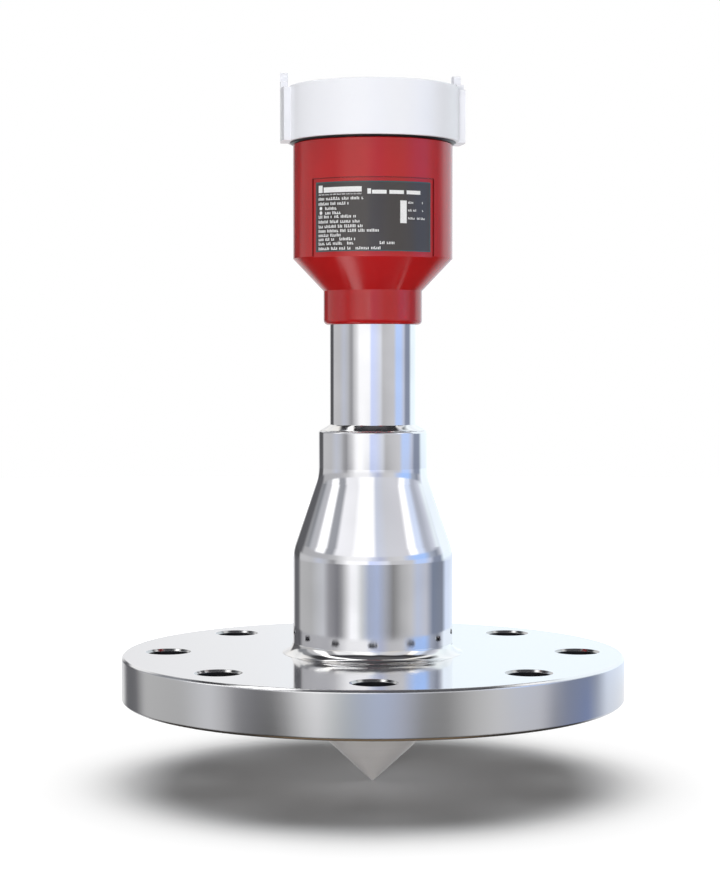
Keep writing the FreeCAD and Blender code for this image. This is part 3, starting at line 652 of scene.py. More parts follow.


# %% [markdown]
# The flange is turned stainless steel. Its upper face is nearly a mirror, its rim is satin and its
# chamfers catch the light as thin bright lines. The walls of the drilled holes are rough, and their
# colour is nearly black as a painted shade. One material does it all, with the roughness taken from the
# direction that the surface faces and the holes told from the rim by their distance from the axis.
# The Bevel node rounds the normals at the chamfers, so that they run from dark to bright like real
# broken edges.

# %% Flange steel
def flange_steel():
    material, tree, shader = start_finish("flange_steel", Metallic=1.0)
    lines = use_group(tree, turning_group, Line_Spacing=0.22 * mm)
    edge = use_group(tree, edge_group, Edge_Width=0.35 * mm)["Edge"]
    dust = use_group(tree, dust_group, Amount=0.10)["Dust"]
    rim_rough = ramp_between(tree, lines["Streak"], 0.3, 0.7, 0.138, 0.145)
    face_rough = ramp_between(tree, lines["Streak"], 0.3, 0.7, 0.06, 0.09)
    rough = mix_values(tree, lines["Flat"], rim_rough, face_rough)
    inside = ramp_between(tree, lines["Radius"], flange_radius - 5.0 * mm, flange_radius - 6.0 * mm)
    hole = calculate(tree, "MULTIPLY", inside, lines["Steep"])
    rough = mix_values(tree, hole, rough, mix_values(tree, lines["Flat"], 0.45, 0.12))
    rough = calculate(tree, "ADD", rough, calculate(tree, "MULTIPLY", dust, 1.2))
    tone = mix_colours(tree, lines["Streak"], (0.79, 0.79, 0.80, 1.0), (0.80, 0.80, 0.81, 1.0))
    # Inside the holes the colour goes nearly black, a painted shade, and mid grey on their flat parts.
    hole_painted_shade = mix_colours(tree, lines["Flat"], (0.05, 0.05, 0.055, 1.0), grey(0.50))
    colour = mix_colours(tree, hole, mix_colours(tree, edge, tone, grey(0.88)), hole_painted_shade)
    tree.links.new(colour, shader.inputs["Base Color"])
    tree.links.new(rough, shader.inputs["Roughness"])
    edge_radius = mix_values(tree, inside, 0.8 * mm, 0.3 * mm)
    soft_edge = place(tree, "ShaderNodeBevel", {"Radius": edge_radius}, samples=8).outputs[0]
    sockets = {"Height": lines["Height"], "Distance": 0.0002 * mm, "Normal": soft_edge}
    tree.links.new(place(tree, "ShaderNodeBump", sockets).outputs[0], shader.inputs["Normal"])
    return material


# %% [markdown]
# Reducer and neck are drawn tube, ground and then polished to a mirror. What tells them from chrome
# is a faint unevenness of the wall, some haze where hands touched, and very fine grinding lines.

# %% Polished tube
def polished_steel(name, haze, spacing, tone):
    material, tree, shader = start_finish(name, Metallic=1.0)
    lines = use_group(tree, turning_group, Line_Spacing=spacing)
    cloud = use_group(tree, grain_group, Grain_Size=9.0 * mm)
    smudge = ramp_between(tree, cloud["Cloud"], 0.35, 0.7)
    rough = ramp_between(tree, smudge, 0.0, 1.0, haze, haze + 0.05)
    dark = [0.93 * part for part in tone]
    colour = mix_colours(tree, smudge, (*tone, 1.0), (*dark, 1.0))
    tree.links.new(colour, shader.inputs["Base Color"])
    tree.links.new(rough, shader.inputs["Roughness"])
    wave = calculate(tree, "MULTIPLY", cloud["Height"], 3.0)
    bump(tree, shader, calculate(tree, "ADD", wave, lines["Height"]), 0.0015 * mm)
    return material


# %% [markdown]
# A weld bead is melted and frozen metal. Here both beads are brushed and electropolished after
# welding, so they mirror the room like the tube, only wavier, and a little duller in the valleys of
# their ripples. The bead's mesh carries how high each point lies on its ripple as an attribute, so
# the material knows crest from valley.

# %% Weld metal
def weld_steel():
    material, tree, shader = start_finish("weld_steel", Metallic=1.0)
    grain = use_group(tree, grain_group, Grain_Size=2.5 * mm)
    tinted = ramp_between(tree, grain["Cloud"], 0.4, 0.65)
    straw = mix_colours(tree, tinted, grey(0.82), (0.82, 0.79, 0.75, 1.0))
    crest = place(tree, "ShaderNodeAttribute", attribute_name="crest").outputs["Fac"]
    colour = mix_colours(tree, crest, grey(0.76), straw)
    tree.links.new(colour, shader.inputs["Base Color"])
    tree.links.new(ramp_between(tree, crest, 0.0, 1.0, 0.09, 0.06), shader.inputs["Roughness"])
    bump(tree, shader, grain["Height"], 0.003 * mm)
    return material


# %% [markdown]
# Smaller metal pieces are plainly turned: the swivel's ring and the screws. Brass ones are yellow
# and a little stained.

# %% Turned metal
def turned_metal(name, tone, rough_low, rough_high):
    material, tree, shader = start_finish(name, Metallic=1.0)
    lines = use_group(tree, turning_group, Line_Spacing=0.2 * mm)
    edge = use_group(tree, edge_group, Edge_Width=0.2 * mm)["Edge"]
    stain = use_group(tree, grain_group, Grain_Size=2.0 * mm)["Cloud"]
    dark = [0.75 * part for part in tone]
    colour = mix_colours(tree, ramp_between(tree, stain, 0.35, 0.65), (*tone, 1.0), (*dark, 1.0))
    worn = mix_colours(tree, edge, colour, (*[min(1.0, 1.2 * part) for part in tone], 1.0))
    tree.links.new(worn, shader.inputs["Base Color"])
    rough = ramp_between(tree, lines["Streak"], 0.3, 0.7, rough_low, rough_high)
    tree.links.new(rough, shader.inputs["Roughness"])
    bump(tree, shader, lines["Height"], 0.008 * mm)
    return material


# %% [markdown]
# The housing is glossy red plastic, the lid white, and inside there are black, green and grey
# mouldings. They all share one recipe: a base tone with slight clouds, a fine grain as bump, edges
# that are rubbed a shade lighter, and dust on top. The unevenness scales clouds, gloss and dust
# together. It is small for the lid, because stains show most on white.

# %% Moulded plastic
def moulded_plastic(
    name,
    tone,
    rough,
    grain_size=0.45 * mm,
    grain_depth=0.006 * mm,
    edge_gain=1.25,
    unevenness=1.0,
    painted_shade_line=None,
    **fixed,
):
    """Plastic of one tone. The optional function adds a mask of lines that get a painted shade."""
    material, tree, shader = start_finish(name, **fixed)
    grain = use_group(tree, grain_group, Grain_Size=grain_size)
    edge = use_group(tree, edge_group, Edge_Width=0.35 * mm)["Edge"]
    dust = use_group(tree, dust_group, Amount=0.12 * unevenness)["Dust"]
    deep = [(1 - 0.07 * unevenness) * part for part in tone]
    light = [min(0.95, edge_gain * part + 0.01) for part in tone]
    cloudy = mix_colours(tree, ramp_between(tree, grain["Cloud"], 0.35, 0.65), (*tone, 1.0), (*deep, 1.0))
    worn = mix_colours(tree, calculate(tree, "MULTIPLY", edge, 0.5), cloudy, (*light, 1.0))
    dust_and_painted_shade = mix_colours(tree, dust, worn, (0.55, 0.53, 0.50, 1.0))
    # Where the optional mask lies, the colour goes dark as a painted shade.
    if painted_shade_line:
        dust_and_painted_shade = mix_colours(tree, painted_shade_line(tree), dust_and_painted_shade, (*[0.12 * part for part in tone], 1.0))
    tree.links.new(dust_and_painted_shade, shader.inputs["Base Color"])
    low, high = rough - 0.03 * unevenness, rough + 0.05 * unevenness
    spread = ramp_between(tree, grain["Height"], 0.3, 0.7, low, high)
    tree.links.new(calculate(tree, "ADD", spread, dust), shader.inputs["Roughness"])
    bump(tree, shader, grain["Height"], grain_depth)
    return material


# %% [markdown]
# The type plate lies in a shallow recess, half a millimetre deep. The corner of its step gets a
# painted shade: a thin dark line along the top and both sides.
# The mask finds these corners from the place on the housing: the height, and the angle round Z.

# %% Painted shade line round the recess
recess_foot = 194.4 * mm
recess_top = 227.2 * mm
recess_angle = math.radians(48.0)


# Mask of the painted shade in the corner of the recess's step.
def recess_painted_shade(tree):
    axes = surface_axes(tree)
    front = calculate(tree, "MULTIPLY", axes["Y"], -1.0)
    angle = calculate(tree, "ABSOLUTE", calculate(tree, "ARCTAN2", axes["X"], front))
    off_side = calculate(tree, "SUBTRACT", angle, recess_angle)
    off_top = calculate(tree, "SUBTRACT", axes["Z"], recess_top)
    beside = ramp_between(tree, calculate(tree, "ABSOLUTE", off_side), 0.010, 0.004)
    above = ramp_between(tree, calculate(tree, "ABSOLUTE", off_top), 0.34 * mm, 0.12 * mm)
    under_top = calculate(tree, "LESS_THAN", off_top, 0.0)
    over_foot = calculate(tree, "GREATER_THAN", axes["Z"], recess_foot)
    on_side = calculate(tree, "MULTIPLY", beside, calculate(tree, "MULTIPLY", under_top, over_foot))
    on_top = calculate(tree, "MULTIPLY", above, calculate(tree, "LESS_THAN", off_side, 0.0))
    return calculate(tree, "MULTIPLY", calculate(tree, "MAXIMUM", on_side, on_top), 0.65)


# %% [markdown]
# The antenna's cone is turned from white fluoroplastic. It looks waxy: light enters and comes out a
# little further on, which the shader's subsurface share does, and its edges look lighter than its
# middle, which the sheen does. The tool leaves soft rings on it.

# %% Turned fluoroplastic
def cone_plastic():
    material, tree, shader = start_finish(
        "cone_plastic",
        Subsurface_Weight=0.25,
        Subsurface_Radius=(1.0, 0.9, 0.8),
        Subsurface_Scale=2.0 * mm,
        Sheen_Weight=0.4,
        Sheen_Roughness=0.3,
    )
    lines = use_group(tree, turning_group, Line_Spacing=0.3 * mm)
    grain = use_group(tree, grain_group, Grain_Size=0.4 * mm)
    tone = mix_colours(tree, lines["Streak"], (0.62, 0.60, 0.59, 1.0), (0.68, 0.66, 0.65, 1.0))
    pits = ramp_between(tree, grain["Height"], 0.62, 0.75, 0.0, 0.3)
    speck = mix_colours(tree, pits, tone, (0.45, 0.43, 0.42, 1.0))
    tree.links.new(speck, shader.inputs["Base Color"])
    tree.links.new(ramp_between(tree, lines["Streak"], 0.3, 0.7, 0.38, 0.5), shader.inputs["Roughness"])
    both = calculate(tree, "ADD", lines["Height"], calculate(tree, "MULTIPLY", grain["Height"], 1.5))
    bump(tree, shader, both, 0.012 * mm)
    return material


# %% [markdown]
# Sealing rings are black rubber: greased, so that they slide when the lid is turned, with a little
# bloom and a slight orange-peel skin.

# %% Rubber
def seal_rubber():
    material, tree, shader = start_finish("seal_rubber")
    grain = use_group(tree, grain_group, Grain_Size=0.3 * mm)
    bloom = mix_colours(tree, ramp_between(tree, grain["Cloud"], 0.4, 0.7), grey(0.007), grey(0.014))
    tree.links.new(bloom, shader.inputs["Base Color"])
    tree.links.new(ramp_between(tree, grain["Height"], 0.3, 0.7, 0.25, 0.36), shader.inputs["Roughness"])
    bump(tree, shader, grain["Height"], 0.006 * mm)
    return material


# %% [markdown]
# The type plate is a dark grey film with a thin petrol-coloured edge. Both follow the plate, so the
# material unrolls it: the angle round Z times the radius gives the place along the plate, and the
# height is simply Z. The distance to the nearest border then selects the edge's colour.

# %% Label film
label_low, label_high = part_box("label_plate")
label_radius = -label_low.y
label_half_length = label_radius * math.asin(label_high.x / label_radius)
label_edge_width = 0.45 * mm


def label_film():
    material, tree, shader = start_finish("label_film")
    axes = surface_axes(tree)
    front = calculate(tree, "MULTIPLY", axes["Y"], -1.0)
    along = calculate(tree, "MULTIPLY", calculate(tree, "ARCTAN2", axes["X"], front), label_radius)
    from_side = calculate(tree, "SUBTRACT", label_half_length, calculate(tree, "ABSOLUTE", along))
    middle = (label_low.z + label_high.z) / 2
    off_middle = calculate(tree, "ABSOLUTE", calculate(tree, "SUBTRACT", axes["Z"], middle))
    from_end = calculate(tree, "SUBTRACT", (label_high.z - label_low.z) / 2, off_middle)
    border = calculate(tree, "MINIMUM", from_side, from_end)
    edge = ramp_between(tree, border, label_edge_width, 0.6 * label_edge_width)
    grain = use_group(tree, grain_group, Grain_Size=0.25 * mm)
    film = mix_colours(tree, grain["Cloud"], (0.050, 0.045, 0.044, 1.0), (0.058, 0.052, 0.051, 1.0))
    colour = mix_colours(tree, edge, film, (0.03, 0.10, 0.11, 1.0))
    tree.links.new(colour, shader.inputs["Base Color"])
    tree.links.new(ramp_between(tree, grain["Height"], 0.3, 0.7, 0.07, 0.10), shader.inputs["Roughness"])
    bump(tree, shader, grain["Height"], 0.0004 * mm)
    return material


def print_ink():
    material, tree, shader = start_finish("print_ink")
    grain = use_group(tree, grain_group, Grain_Size=0.2 * mm)
    ink = mix_colours(tree, ramp_between(tree, grain["Height"], 0.35, 0.6), grey(0.70), grey(0.86))
    tree.links.new(ink, shader.inputs["Base Color"])
    tree.links.new(ramp_between(tree, grain["Height"], 0.3, 0.7, 0.35, 0.5), shader.inputs["Roughness"])
    bump(tree, shader, grain["Height"], 0.004 * mm)
    return material


# %% [markdown]
# Now each CAD node gets its finish. The list says which nodes share one, and the helper replaces the
# material that came with the model.

# %% Finishes of the CAD nodes
finishes = {
    "flange_steel": (flange_steel(), ["flange"]),
    "polished_steel": (
        polished_steel("polished_steel", 0.05, 0.15 * mm, (0.80, 0.80, 0.82)),
        ["reducer", "neck_tube"],
    ),
    "weld_steel": (weld_steel(), ["flange_weld", "neck_weld"]),
    "turned_steel": (
        turned_metal("turned_steel", (0.62, 0.62, 0.64), 0.22, 0.36),
        ["swivel_ring", "swivel_lock_screw", "carrier_screws"],
    ),
    "cone_plastic": (cone_plastic(), ["antenna_cone", "waveguide_spacer"]),
    "seal_rubber": (
        seal_rubber(),
        ["cone_seal", "swivel_seal", "lid_seal", "gland_gasket", "gland_insert"],
    ),
    "horn_metal": (
        turned_metal("horn_metal", (0.78, 0.78, 0.79), 0.18, 0.28),
        ["horn_antenna", "radar_module"],
    ),
    "waveguide_metal": (turned_metal("waveguide_metal", (0.78, 0.66, 0.40), 0.16, 0.28), ["waveguide_tube"]),
    "housing_plastic": (
        moulded_plastic(
            "housing_plastic",
            (0.43, 0.008, 0.009),
            0.13,
            grain_size=0.5 * mm,
            grain_depth=0.0006 * mm,
            painted_shade_line=recess_painted_shade,
            Specular_IOR_Level=0.62,
        ),
        ["housing_body"],
    ),
    "lid_plastic": (
        moulded_plastic(
            "lid_plastic",
            (0.87, 0.88, 0.925),
            0.26,
            grain_size=0.6 * mm,
            grain_depth=0.0002 * mm,
            edge_gain=1.0,
            unevenness=0.15,
            Specular_IOR_Level=1.0,
        ),
        ["lid"],
    ),
    "label_film": (label_film(), ["label_plate"]),
    "carrier_plastic": (
        moulded_plastic("carrier_plastic", (0.03, 0.03, 0.032), 0.45, grain_size=0.8 * mm),
        ["electronics_carrier", "electronics_cover"],
    ),
    "board_laminate": (
        moulded_plastic("board_laminate", (0.02, 0.12, 0.06), 0.35, grain_size=0.3 * mm),
        ["main_board"],
    ),
    "terminal_plastic": (moulded_plastic("terminal_plastic", (0.34, 0.36, 0.35), 0.42), ["terminal_block"]),
    "screw_brass": (turned_metal("screw_brass", (0.80, 0.66, 0.36), 0.2, 0.34), ["terminal_screws"]),
    "gland_plastic": (
        moulded_plastic(
            "gland_plastic",
            (0.035, 0.035, 0.038),
            0.4,
            grain_size=0.7 * mm,
            grain_depth=0.012 * mm,
        ),
        ["gland_body", "gland_nut"],
    ),
}


def give_finish(thing, material):
    thing.data.materials.clear()
    thing.data.materials.append(material)


for material, nodes in finishes.values():
    for node in nodes:
        give_finish(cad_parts[node], material)
finished = sorted(node for material, nodes in finishes.values() for node in nodes)
print("nodes with a finish", len(finished), "of", len(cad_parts))

# %% [markdown]
# ## Pieces grown by Geometry Nodes
# Welds and threads follow a rule round the axis, so Geometry Nodes grow them. A tree gets named
# inputs for its sizes. The helper below starts a tree, another runs it on an empty object, turns the
# result into a plain mesh and throws the modifier away, so that only real geometry stays.

# %% Helpers for Geometry Nodes
merge_distance = 0.0005 * mm


def geometry_tree(name, inputs):
    """Empty Geometry Nodes tree. Each input is a label with its socket type."""
    tree = bpy.data.node_groups.new(name, "GeometryNodeTree")
    for label, kind in inputs.items():
        tree.interface.new_socket(label, in_out="INPUT", socket_type=kind)
    tree.interface.new_socket("Geometry", in_out="OUTPUT", socket_type="NodeSocketGeometry")
    entry = tree.nodes.new("NodeGroupInput")
    leave = tree.nodes.new("NodeGroupOutput")
    return tree, entry.outputs, leave


def finish_tree(tree, leave, geometry, material):
    """Ends a tree in Realize Instances and Set Material."""
    real = place(tree, "GeometryNodeRealizeInstances", {"Geometry": geometry})
    coloured = place(tree, "GeometryNodeSetMaterial", {"Geometry": real.outputs[0], "Material": material})
    tree.links.new(coloured.outputs[0], leave.inputs["Geometry"])


def grow(name, tree, values, start_mesh=None):
    """Runs a tree with its values and returns an object that holds the result as a plain mesh."""
    seedling = bpy.data.objects.new(name + "_seedling", start_mesh or bpy.data.meshes.new(name + "_seedling"))
    bpy.context.scene.collection.objects.link(seedling)
    modifier = seedling.modifiers.new("grow", "NODES")
    modifier.node_group = tree
    for socket in tree.interface.items_tree:
        if socket.in_out == "INPUT" and socket.name in values:
            modifier[socket.identifier] = values[socket.name]
    evaluated = seedling.evaluated_get(bpy.context.evaluated_depsgraph_get())
    mesh = bpy.data.meshes.new_from_object(evaluated)
    mesh.name = name
    bpy.data.objects.remove(seedling)
    work = bmesh.new()
    work.from_mesh(mesh)
    bmesh.ops.remove_doubles(work, verts=work.verts, dist=merge_distance)
    bmesh.ops.recalc_face_normals(work, faces=work.faces)
    work.to_mesh(mesh)
    work.free()
    grown = bpy.data.objects.new(name, mesh)
    bpy.context.scene.collection.objects.link(grown)
    print(name, "faces", len(mesh.polygons))
    return grown


# %% [markdown]
# ### Weld beads
# A hand-laid bead is a row of frozen puddles, each overlapping the last like a tipped stack of coins,
# and its edge wanders a little. Displacing the smooth CAD ring would move a CAD solid, so the bead is
# a new piece. The tree starts from a flat grid. One side of the grid runs round the joint, the other
# across the bead from the plate up to the wall. The section is a superellipse: one number, its
# exponent, makes it hollow below 1 and bulging above. A low lip rises at the toe, and the puddles
# scale the section in and out along the way.

# %% Tree: weld bead
def weld_bead_tree():
    float_socket = "NodeSocketFloat"
    tree, given, leave = geometry_tree(
        "weld_bead",
        {
            "Root Radius": float_socket,
            "Root Height": float_socket,
            "Width": float_socket,
            "Height": float_socket,
            "Fullness": float_socket,
            "Lip": float_socket,
            "Puddles": float_socket,
            "Puddle Depth": float_socket,
            "Crispness": float_socket,
            "Wander": float_socket,
            "Steps Round": "NodeSocketInt",
            "Steps Across": "NodeSocketInt",
            "Seed": float_socket,
            "Material": "NodeSocketMaterial",
        },
    )
    grid = place(
        tree,
        "GeometryNodeMeshGrid",
        {
            "Size X": 1.0,
            "Size Y": 1.0,
            "Vertices X": given["Steps Round"],
            "Vertices Y": given["Steps Across"],
        },
    )
    spot = vertex_axes(tree)
    round_share = calculate(tree, "ADD", spot["X"], 0.5)
    across_share = calculate(tree, "ADD", spot["Y"], 0.5)
    angle = calculate(tree, "MULTIPLY", round_share, 2 * math.pi)
    steps = calculate(tree, "SUBTRACT", given["Steps Across"], 1.0)
    inner = calculate(tree, "SUBTRACT", calculate(tree, "MULTIPLY", across_share, steps), 1.0)
    turn = calculate(tree, "DIVIDE", inner, calculate(tree, "SUBTRACT", steps, 2.0), clamp=True)
    tilt = calculate(tree, "MULTIPLY", turn, math.pi / 2)
    low_end = calculate(tree, "GREATER_THAN", across_share, 0.001)
    high_end = calculate(tree, "LESS_THAN", across_share, 0.999)
    on_face = calculate(tree, "MULTIPLY", low_end, high_end)

    cosine = calculate(tree, "MAXIMUM", calculate(tree, "COSINE", tilt), 0.0)
    sine = calculate(tree, "MAXIMUM", calculate(tree, "SINE", tilt), 0.0)
    exponent = calculate(tree, "DIVIDE", 2.0, given["Fullness"])
    out_share = calculate(tree, "POWER", cosine, exponent)
    up_share = calculate(tree, "POWER", sine, exponent)
    lip_share = calculate(tree, "MULTIPLY", ramp_between(tree, turn, 0.0, 0.20), cosine)
    lip = calculate(tree, "MULTIPLY", calculate(tree, "MULTIPLY", lip_share, given["Lip"]), on_face)

    circle = place(
        tree,
        "ShaderNodeCombineXYZ",
        {"X": calculate(tree, "COSINE", angle), "Y": calculate(tree, "SINE", angle), "Z": 0.0},
    )
    uneven = place(
        tree,
        "ShaderNodeTexNoise",
        {"Vector": circle.outputs[0], "W": given["Seed"], "Scale": 3.0, "Detail": 0.0},
        noise_dimensions="4D",
    ).outputs[0]
    half_turn = calculate(tree, "MULTIPLY", turn, math.pi)
    lag = calculate(tree, "MULTIPLY", calculate(tree, "SINE", half_turn), 0.55)
    jitter = calculate(tree, "MULTIPLY", calculate(tree, "SUBTRACT", uneven, 0.5), 1.6)
    beat = calculate(tree, "MULTIPLY", round_share, given["Puddles"])
    phase = calculate(tree, "ADD", calculate(tree, "ADD", beat, lag), jitter)
    saw = calculate(tree, "SUBTRACT", calculate(tree, "MULTIPLY", calculate(tree, "FRACT", phase), 2.0), 1.0)
    crisp = calculate(tree, "SUBTRACT", 1.0, calculate(tree, "POWER", calculate(tree, "ABSOLUTE", saw), 2.4))
    wave = calculate(tree, "COSINE", calculate(tree, "MULTIPLY", saw, math.pi))
    soft = calculate(tree, "MULTIPLY_ADD", wave, 0.5, 0.5)
    mound = mix_values(tree, given["Crispness"], soft, crisp)
    sway = calculate(tree, "MULTIPLY", calculate(tree, "SUBTRACT", uneven, 0.5), given["Wander"])
    swell = calculate(tree, "MULTIPLY", calculate(tree, "SUBTRACT", mound, 0.7), given["Puddle Depth"])
    scale = calculate(tree, "ADD", calculate(tree, "ADD", 1.0, swell), sway)
    scaled = calculate(tree, "MULTIPLY", scale, on_face)

    outwards = calculate(tree, "MULTIPLY", calculate(tree, "MULTIPLY", scaled, out_share), given["Width"])
    upwards = calculate(tree, "MULTIPLY", calculate(tree, "MULTIPLY", scaled, up_share), given["Height"])
    radius = calculate(tree, "ADD", given["Root Radius"], outwards)
    height = calculate(tree, "ADD", calculate(tree, "ADD", given["Root Height"], upwards), lip)
    target = place(
        tree,
        "ShaderNodeCombineXYZ",
        {
            "X": calculate(tree, "MULTIPLY", calculate(tree, "COSINE", angle), radius),
            "Y": calculate(tree, "MULTIPLY", calculate(tree, "SINE", angle), radius),
            "Z": height,
        },
    )
    marked = place(
        tree,
        "GeometryNodeStoreNamedAttribute",
        {"Geometry": grid.outputs["Mesh"], "Name": "crest", "Value": mound},
        data_type="FLOAT",
        domain="POINT",
    )
    on_section = {"Geometry": marked.outputs[0], "Position": target.outputs[0]}
    bent = place(tree, "GeometryNodeSetPosition", on_section)
    touching = {"Geometry": bent.outputs[0], "Distance": merge_distance}
    closed = place(tree, "GeometryNodeMergeByDistance", touching)
    smooth = place(tree, "GeometryNodeSetShadeSmooth", {"Geometry": closed.outputs[0]})
    finish_tree(tree, leave, smooth.outputs[0], given["Material"])
    return tree


bead_tree = weld_bead_tree()
print("weld bead tree nodes", len(bead_tree.nodes))

# %% [markdown]
# The bead at the flange is a hollow fillet that flares out like the foot of a glass. The one at the
# neck fills the step between the reducer's end and the tube. Both take their width and height from
# the CAD rings that they replace.

# %% Two weld beads
def weld_bead(name, node, root_radius, fullness, lip, puddles, depth, crispness, wander, seed):
    """Rippled bead in place of a plain CAD ring. Its root is the corner where tube and plate meet."""
    outer, foot, top = round_piece(node)
    swell = 1.0 + 0.3 * depth + 0.25 * wander
    bead = grow(
        name,
        bead_tree,
        {
            "Root Radius": root_radius,
            "Root Height": foot,
            "Width": (outer - root_radius) / swell,
            "Height": (top - foot) / swell,
            "Fullness": fullness,
            "Lip": lip,
            "Puddles": float(puddles),
            "Puddle Depth": depth,
            "Crispness": crispness,
            "Wander": wander,
            "Steps Round": 361,
            "Steps Across": 40,
            "Seed": seed,
            "Material": finishes["weld_steel"][0],
        },
    )
    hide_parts(node)
    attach(bead, "process_fitting")
    return bead


weld_bead(
    "flange_weld_bead",
    "flange_weld",
    reducer_radius,
    fullness=0.62,
    lip=0.3 * mm,
    puddles=18,
    depth=0.03,
    crispness=0.0,
    wander=0.03,
    seed=3.0,
)
weld_bead(
    "neck_weld_bead",
    "neck_weld",
    neck_radius,
    fullness=0.9,
    lip=0.15 * mm,
    puddles=16,
    depth=0.04,
    crispness=0.0,
    wander=0.05,
    seed=8.0,
)

# %% [markdown]
# ### Threads
# The lid screws onto a coarse moulded thread, and the gland's nut onto a finer one. Both show as soon
# as the part above is unscrewed. A thread is one section carried along a helix: a Spiral curve, with
# its normals held upright, and Curve to Mesh with its ends closed.

# %% Tree: thread ridge
def thread_tree():
    float_socket = "NodeSocketFloat"
    tree, given, leave = geometry_tree(
        "thread_ridge",
        {
            "Radius": float_socket,
            "Start Height": float_socket,
            "Pitch": float_socket,
            "Turns": float_socket,
            "Ridge Width": float_socket,
            "Ridge Height": float_socket,
            "Material": "NodeSocketMaterial",
        },
    )
    rise = calculate(tree, "MULTIPLY", given["Pitch"], given["Turns"])
    spiral = place(
        tree,
        "GeometryNodeCurveSpiral",
        {
            "Resolution": 72,
            "Rotations": given["Turns"],
            "Start Radius": given["Radius"],
            "End Radius": given["Radius"],
            "Height": rise,
        },
    )
    upright = place(tree, "GeometryNodeSetCurveNormal", {0: spiral.outputs[0]}, mode="Z_UP")
    section = place(
        tree,
        "GeometryNodeCurvePrimitiveQuadrilateral",
        {
            "Height": given["Ridge Height"],
            "Bottom Width": given["Ridge Width"],
            "Top Width": calculate(tree, "MULTIPLY", given["Ridge Width"], 0.4),
            "Offset": 0.0,
        },
        mode="TRAPEZOID",
    )
    outwards = place(
        tree, "GeometryNodeTransform", {"Geometry": section.outputs[0], "Rotation": (0.0, 0.0, -math.pi / 2)}
    )
    swept = place(
        tree,
        "GeometryNodeCurveToMesh",
        {"Curve": upright.outputs[0], "Profile Curve": outwards.outputs[0], "Fill Caps": True},
    )
    lift = place(tree, "ShaderNodeCombineXYZ", {"Z": given["Start Height"]})
    lifted = {"Geometry": swept.outputs[0], "Translation": lift.outputs[0]}
    raised = place(tree, "GeometryNodeTransform", lifted)
    finish_tree(tree, leave, raised.outputs[0], given["Material"])
    return tree


ridge_tree = thread_tree()
print("thread tree nodes", len(ridge_tree.nodes))

# %% [markdown]
# The ridges stand only a fifth of a millimetre proud of the CAD's plain rim, because the lid's bore
# must still pass over them. Each ridge is sunk a little into the rim so that no gap shows at its foot.

# %% Two threads
def thread_ridge(name, slot, root_radius, crest_radius, start_height, pitch, turns, width):
    """Helical ridge round Z, sunk half a millimetre into the wall that carries it."""
    sunk = 0.5 * mm
    depth = crest_radius - root_radius + sunk
    return grow(
        name,
        ridge_tree,
        {
            "Radius": root_radius - sunk + depth / 2,
            "Start Height": start_height,
            "Pitch": pitch,
            "Turns": turns,
            "Ridge Width": width,
            "Ridge Height": depth,
            "Material": finishes[slot][0],
        },
    )


rim_thread = thread_ridge(
    "rim_thread",
    "housing_plastic",
    root_radius=33.6 * mm,
    crest_radius=33.76 * mm,
    start_height=248.5 * mm,
    pitch=4.0 * mm,
    turns=2.75,
    width=2.0 * mm,
)
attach(rim_thread, "housing")

gland_low, gland_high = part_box("gland_body")
gland_axis = (gland_low.z + gland_high.z) / 2
gland_thread_foot = gland_high.y - 7.0 * mm
gland_thread = thread_ridge(
    "gland_thread",
    "gland_plastic",
    root_radius=9.6 * mm,
    crest_radius=9.78 * mm,
    start_height=0.8 * mm,
    pitch=1.5 * mm,
    turns=3.5,
    width=0.9 * mm,
)
towards_back = mathutils.Matrix.Rotation(-math.pi / 2, 4, "X")
to_hexagon = mathutils.Matrix.Translation((0.0, gland_thread_foot, gland_axis))
gland_thread.data.transform(to_hexagon @ towards_back)
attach(gland_thread, "housing")
print("gland thread from y", round(gland_thread_foot, 4), "at height", round(gland_axis, 4))

# %% [markdown]
# ### Print on the type plate
# The real plate carries rows of small print. A plate may name nothing here, so the rows are greeked,
# as printers call it: strokes in the size and rhythm of print that spell nothing. Each mark is one
# point that knows its length and height. The tree puts a small block on every point and rolls the
# flat sheet of blocks round the housing.

# %% Tree: wrapped print
block_steps = 17
disc_corners = 24


def mark_value(tree, name):
    """One of the numbers that every mark's point carries."""
    return place(tree, "GeometryNodeInputNamedAttribute", {"Name": name}, data_type="FLOAT").outputs[0]


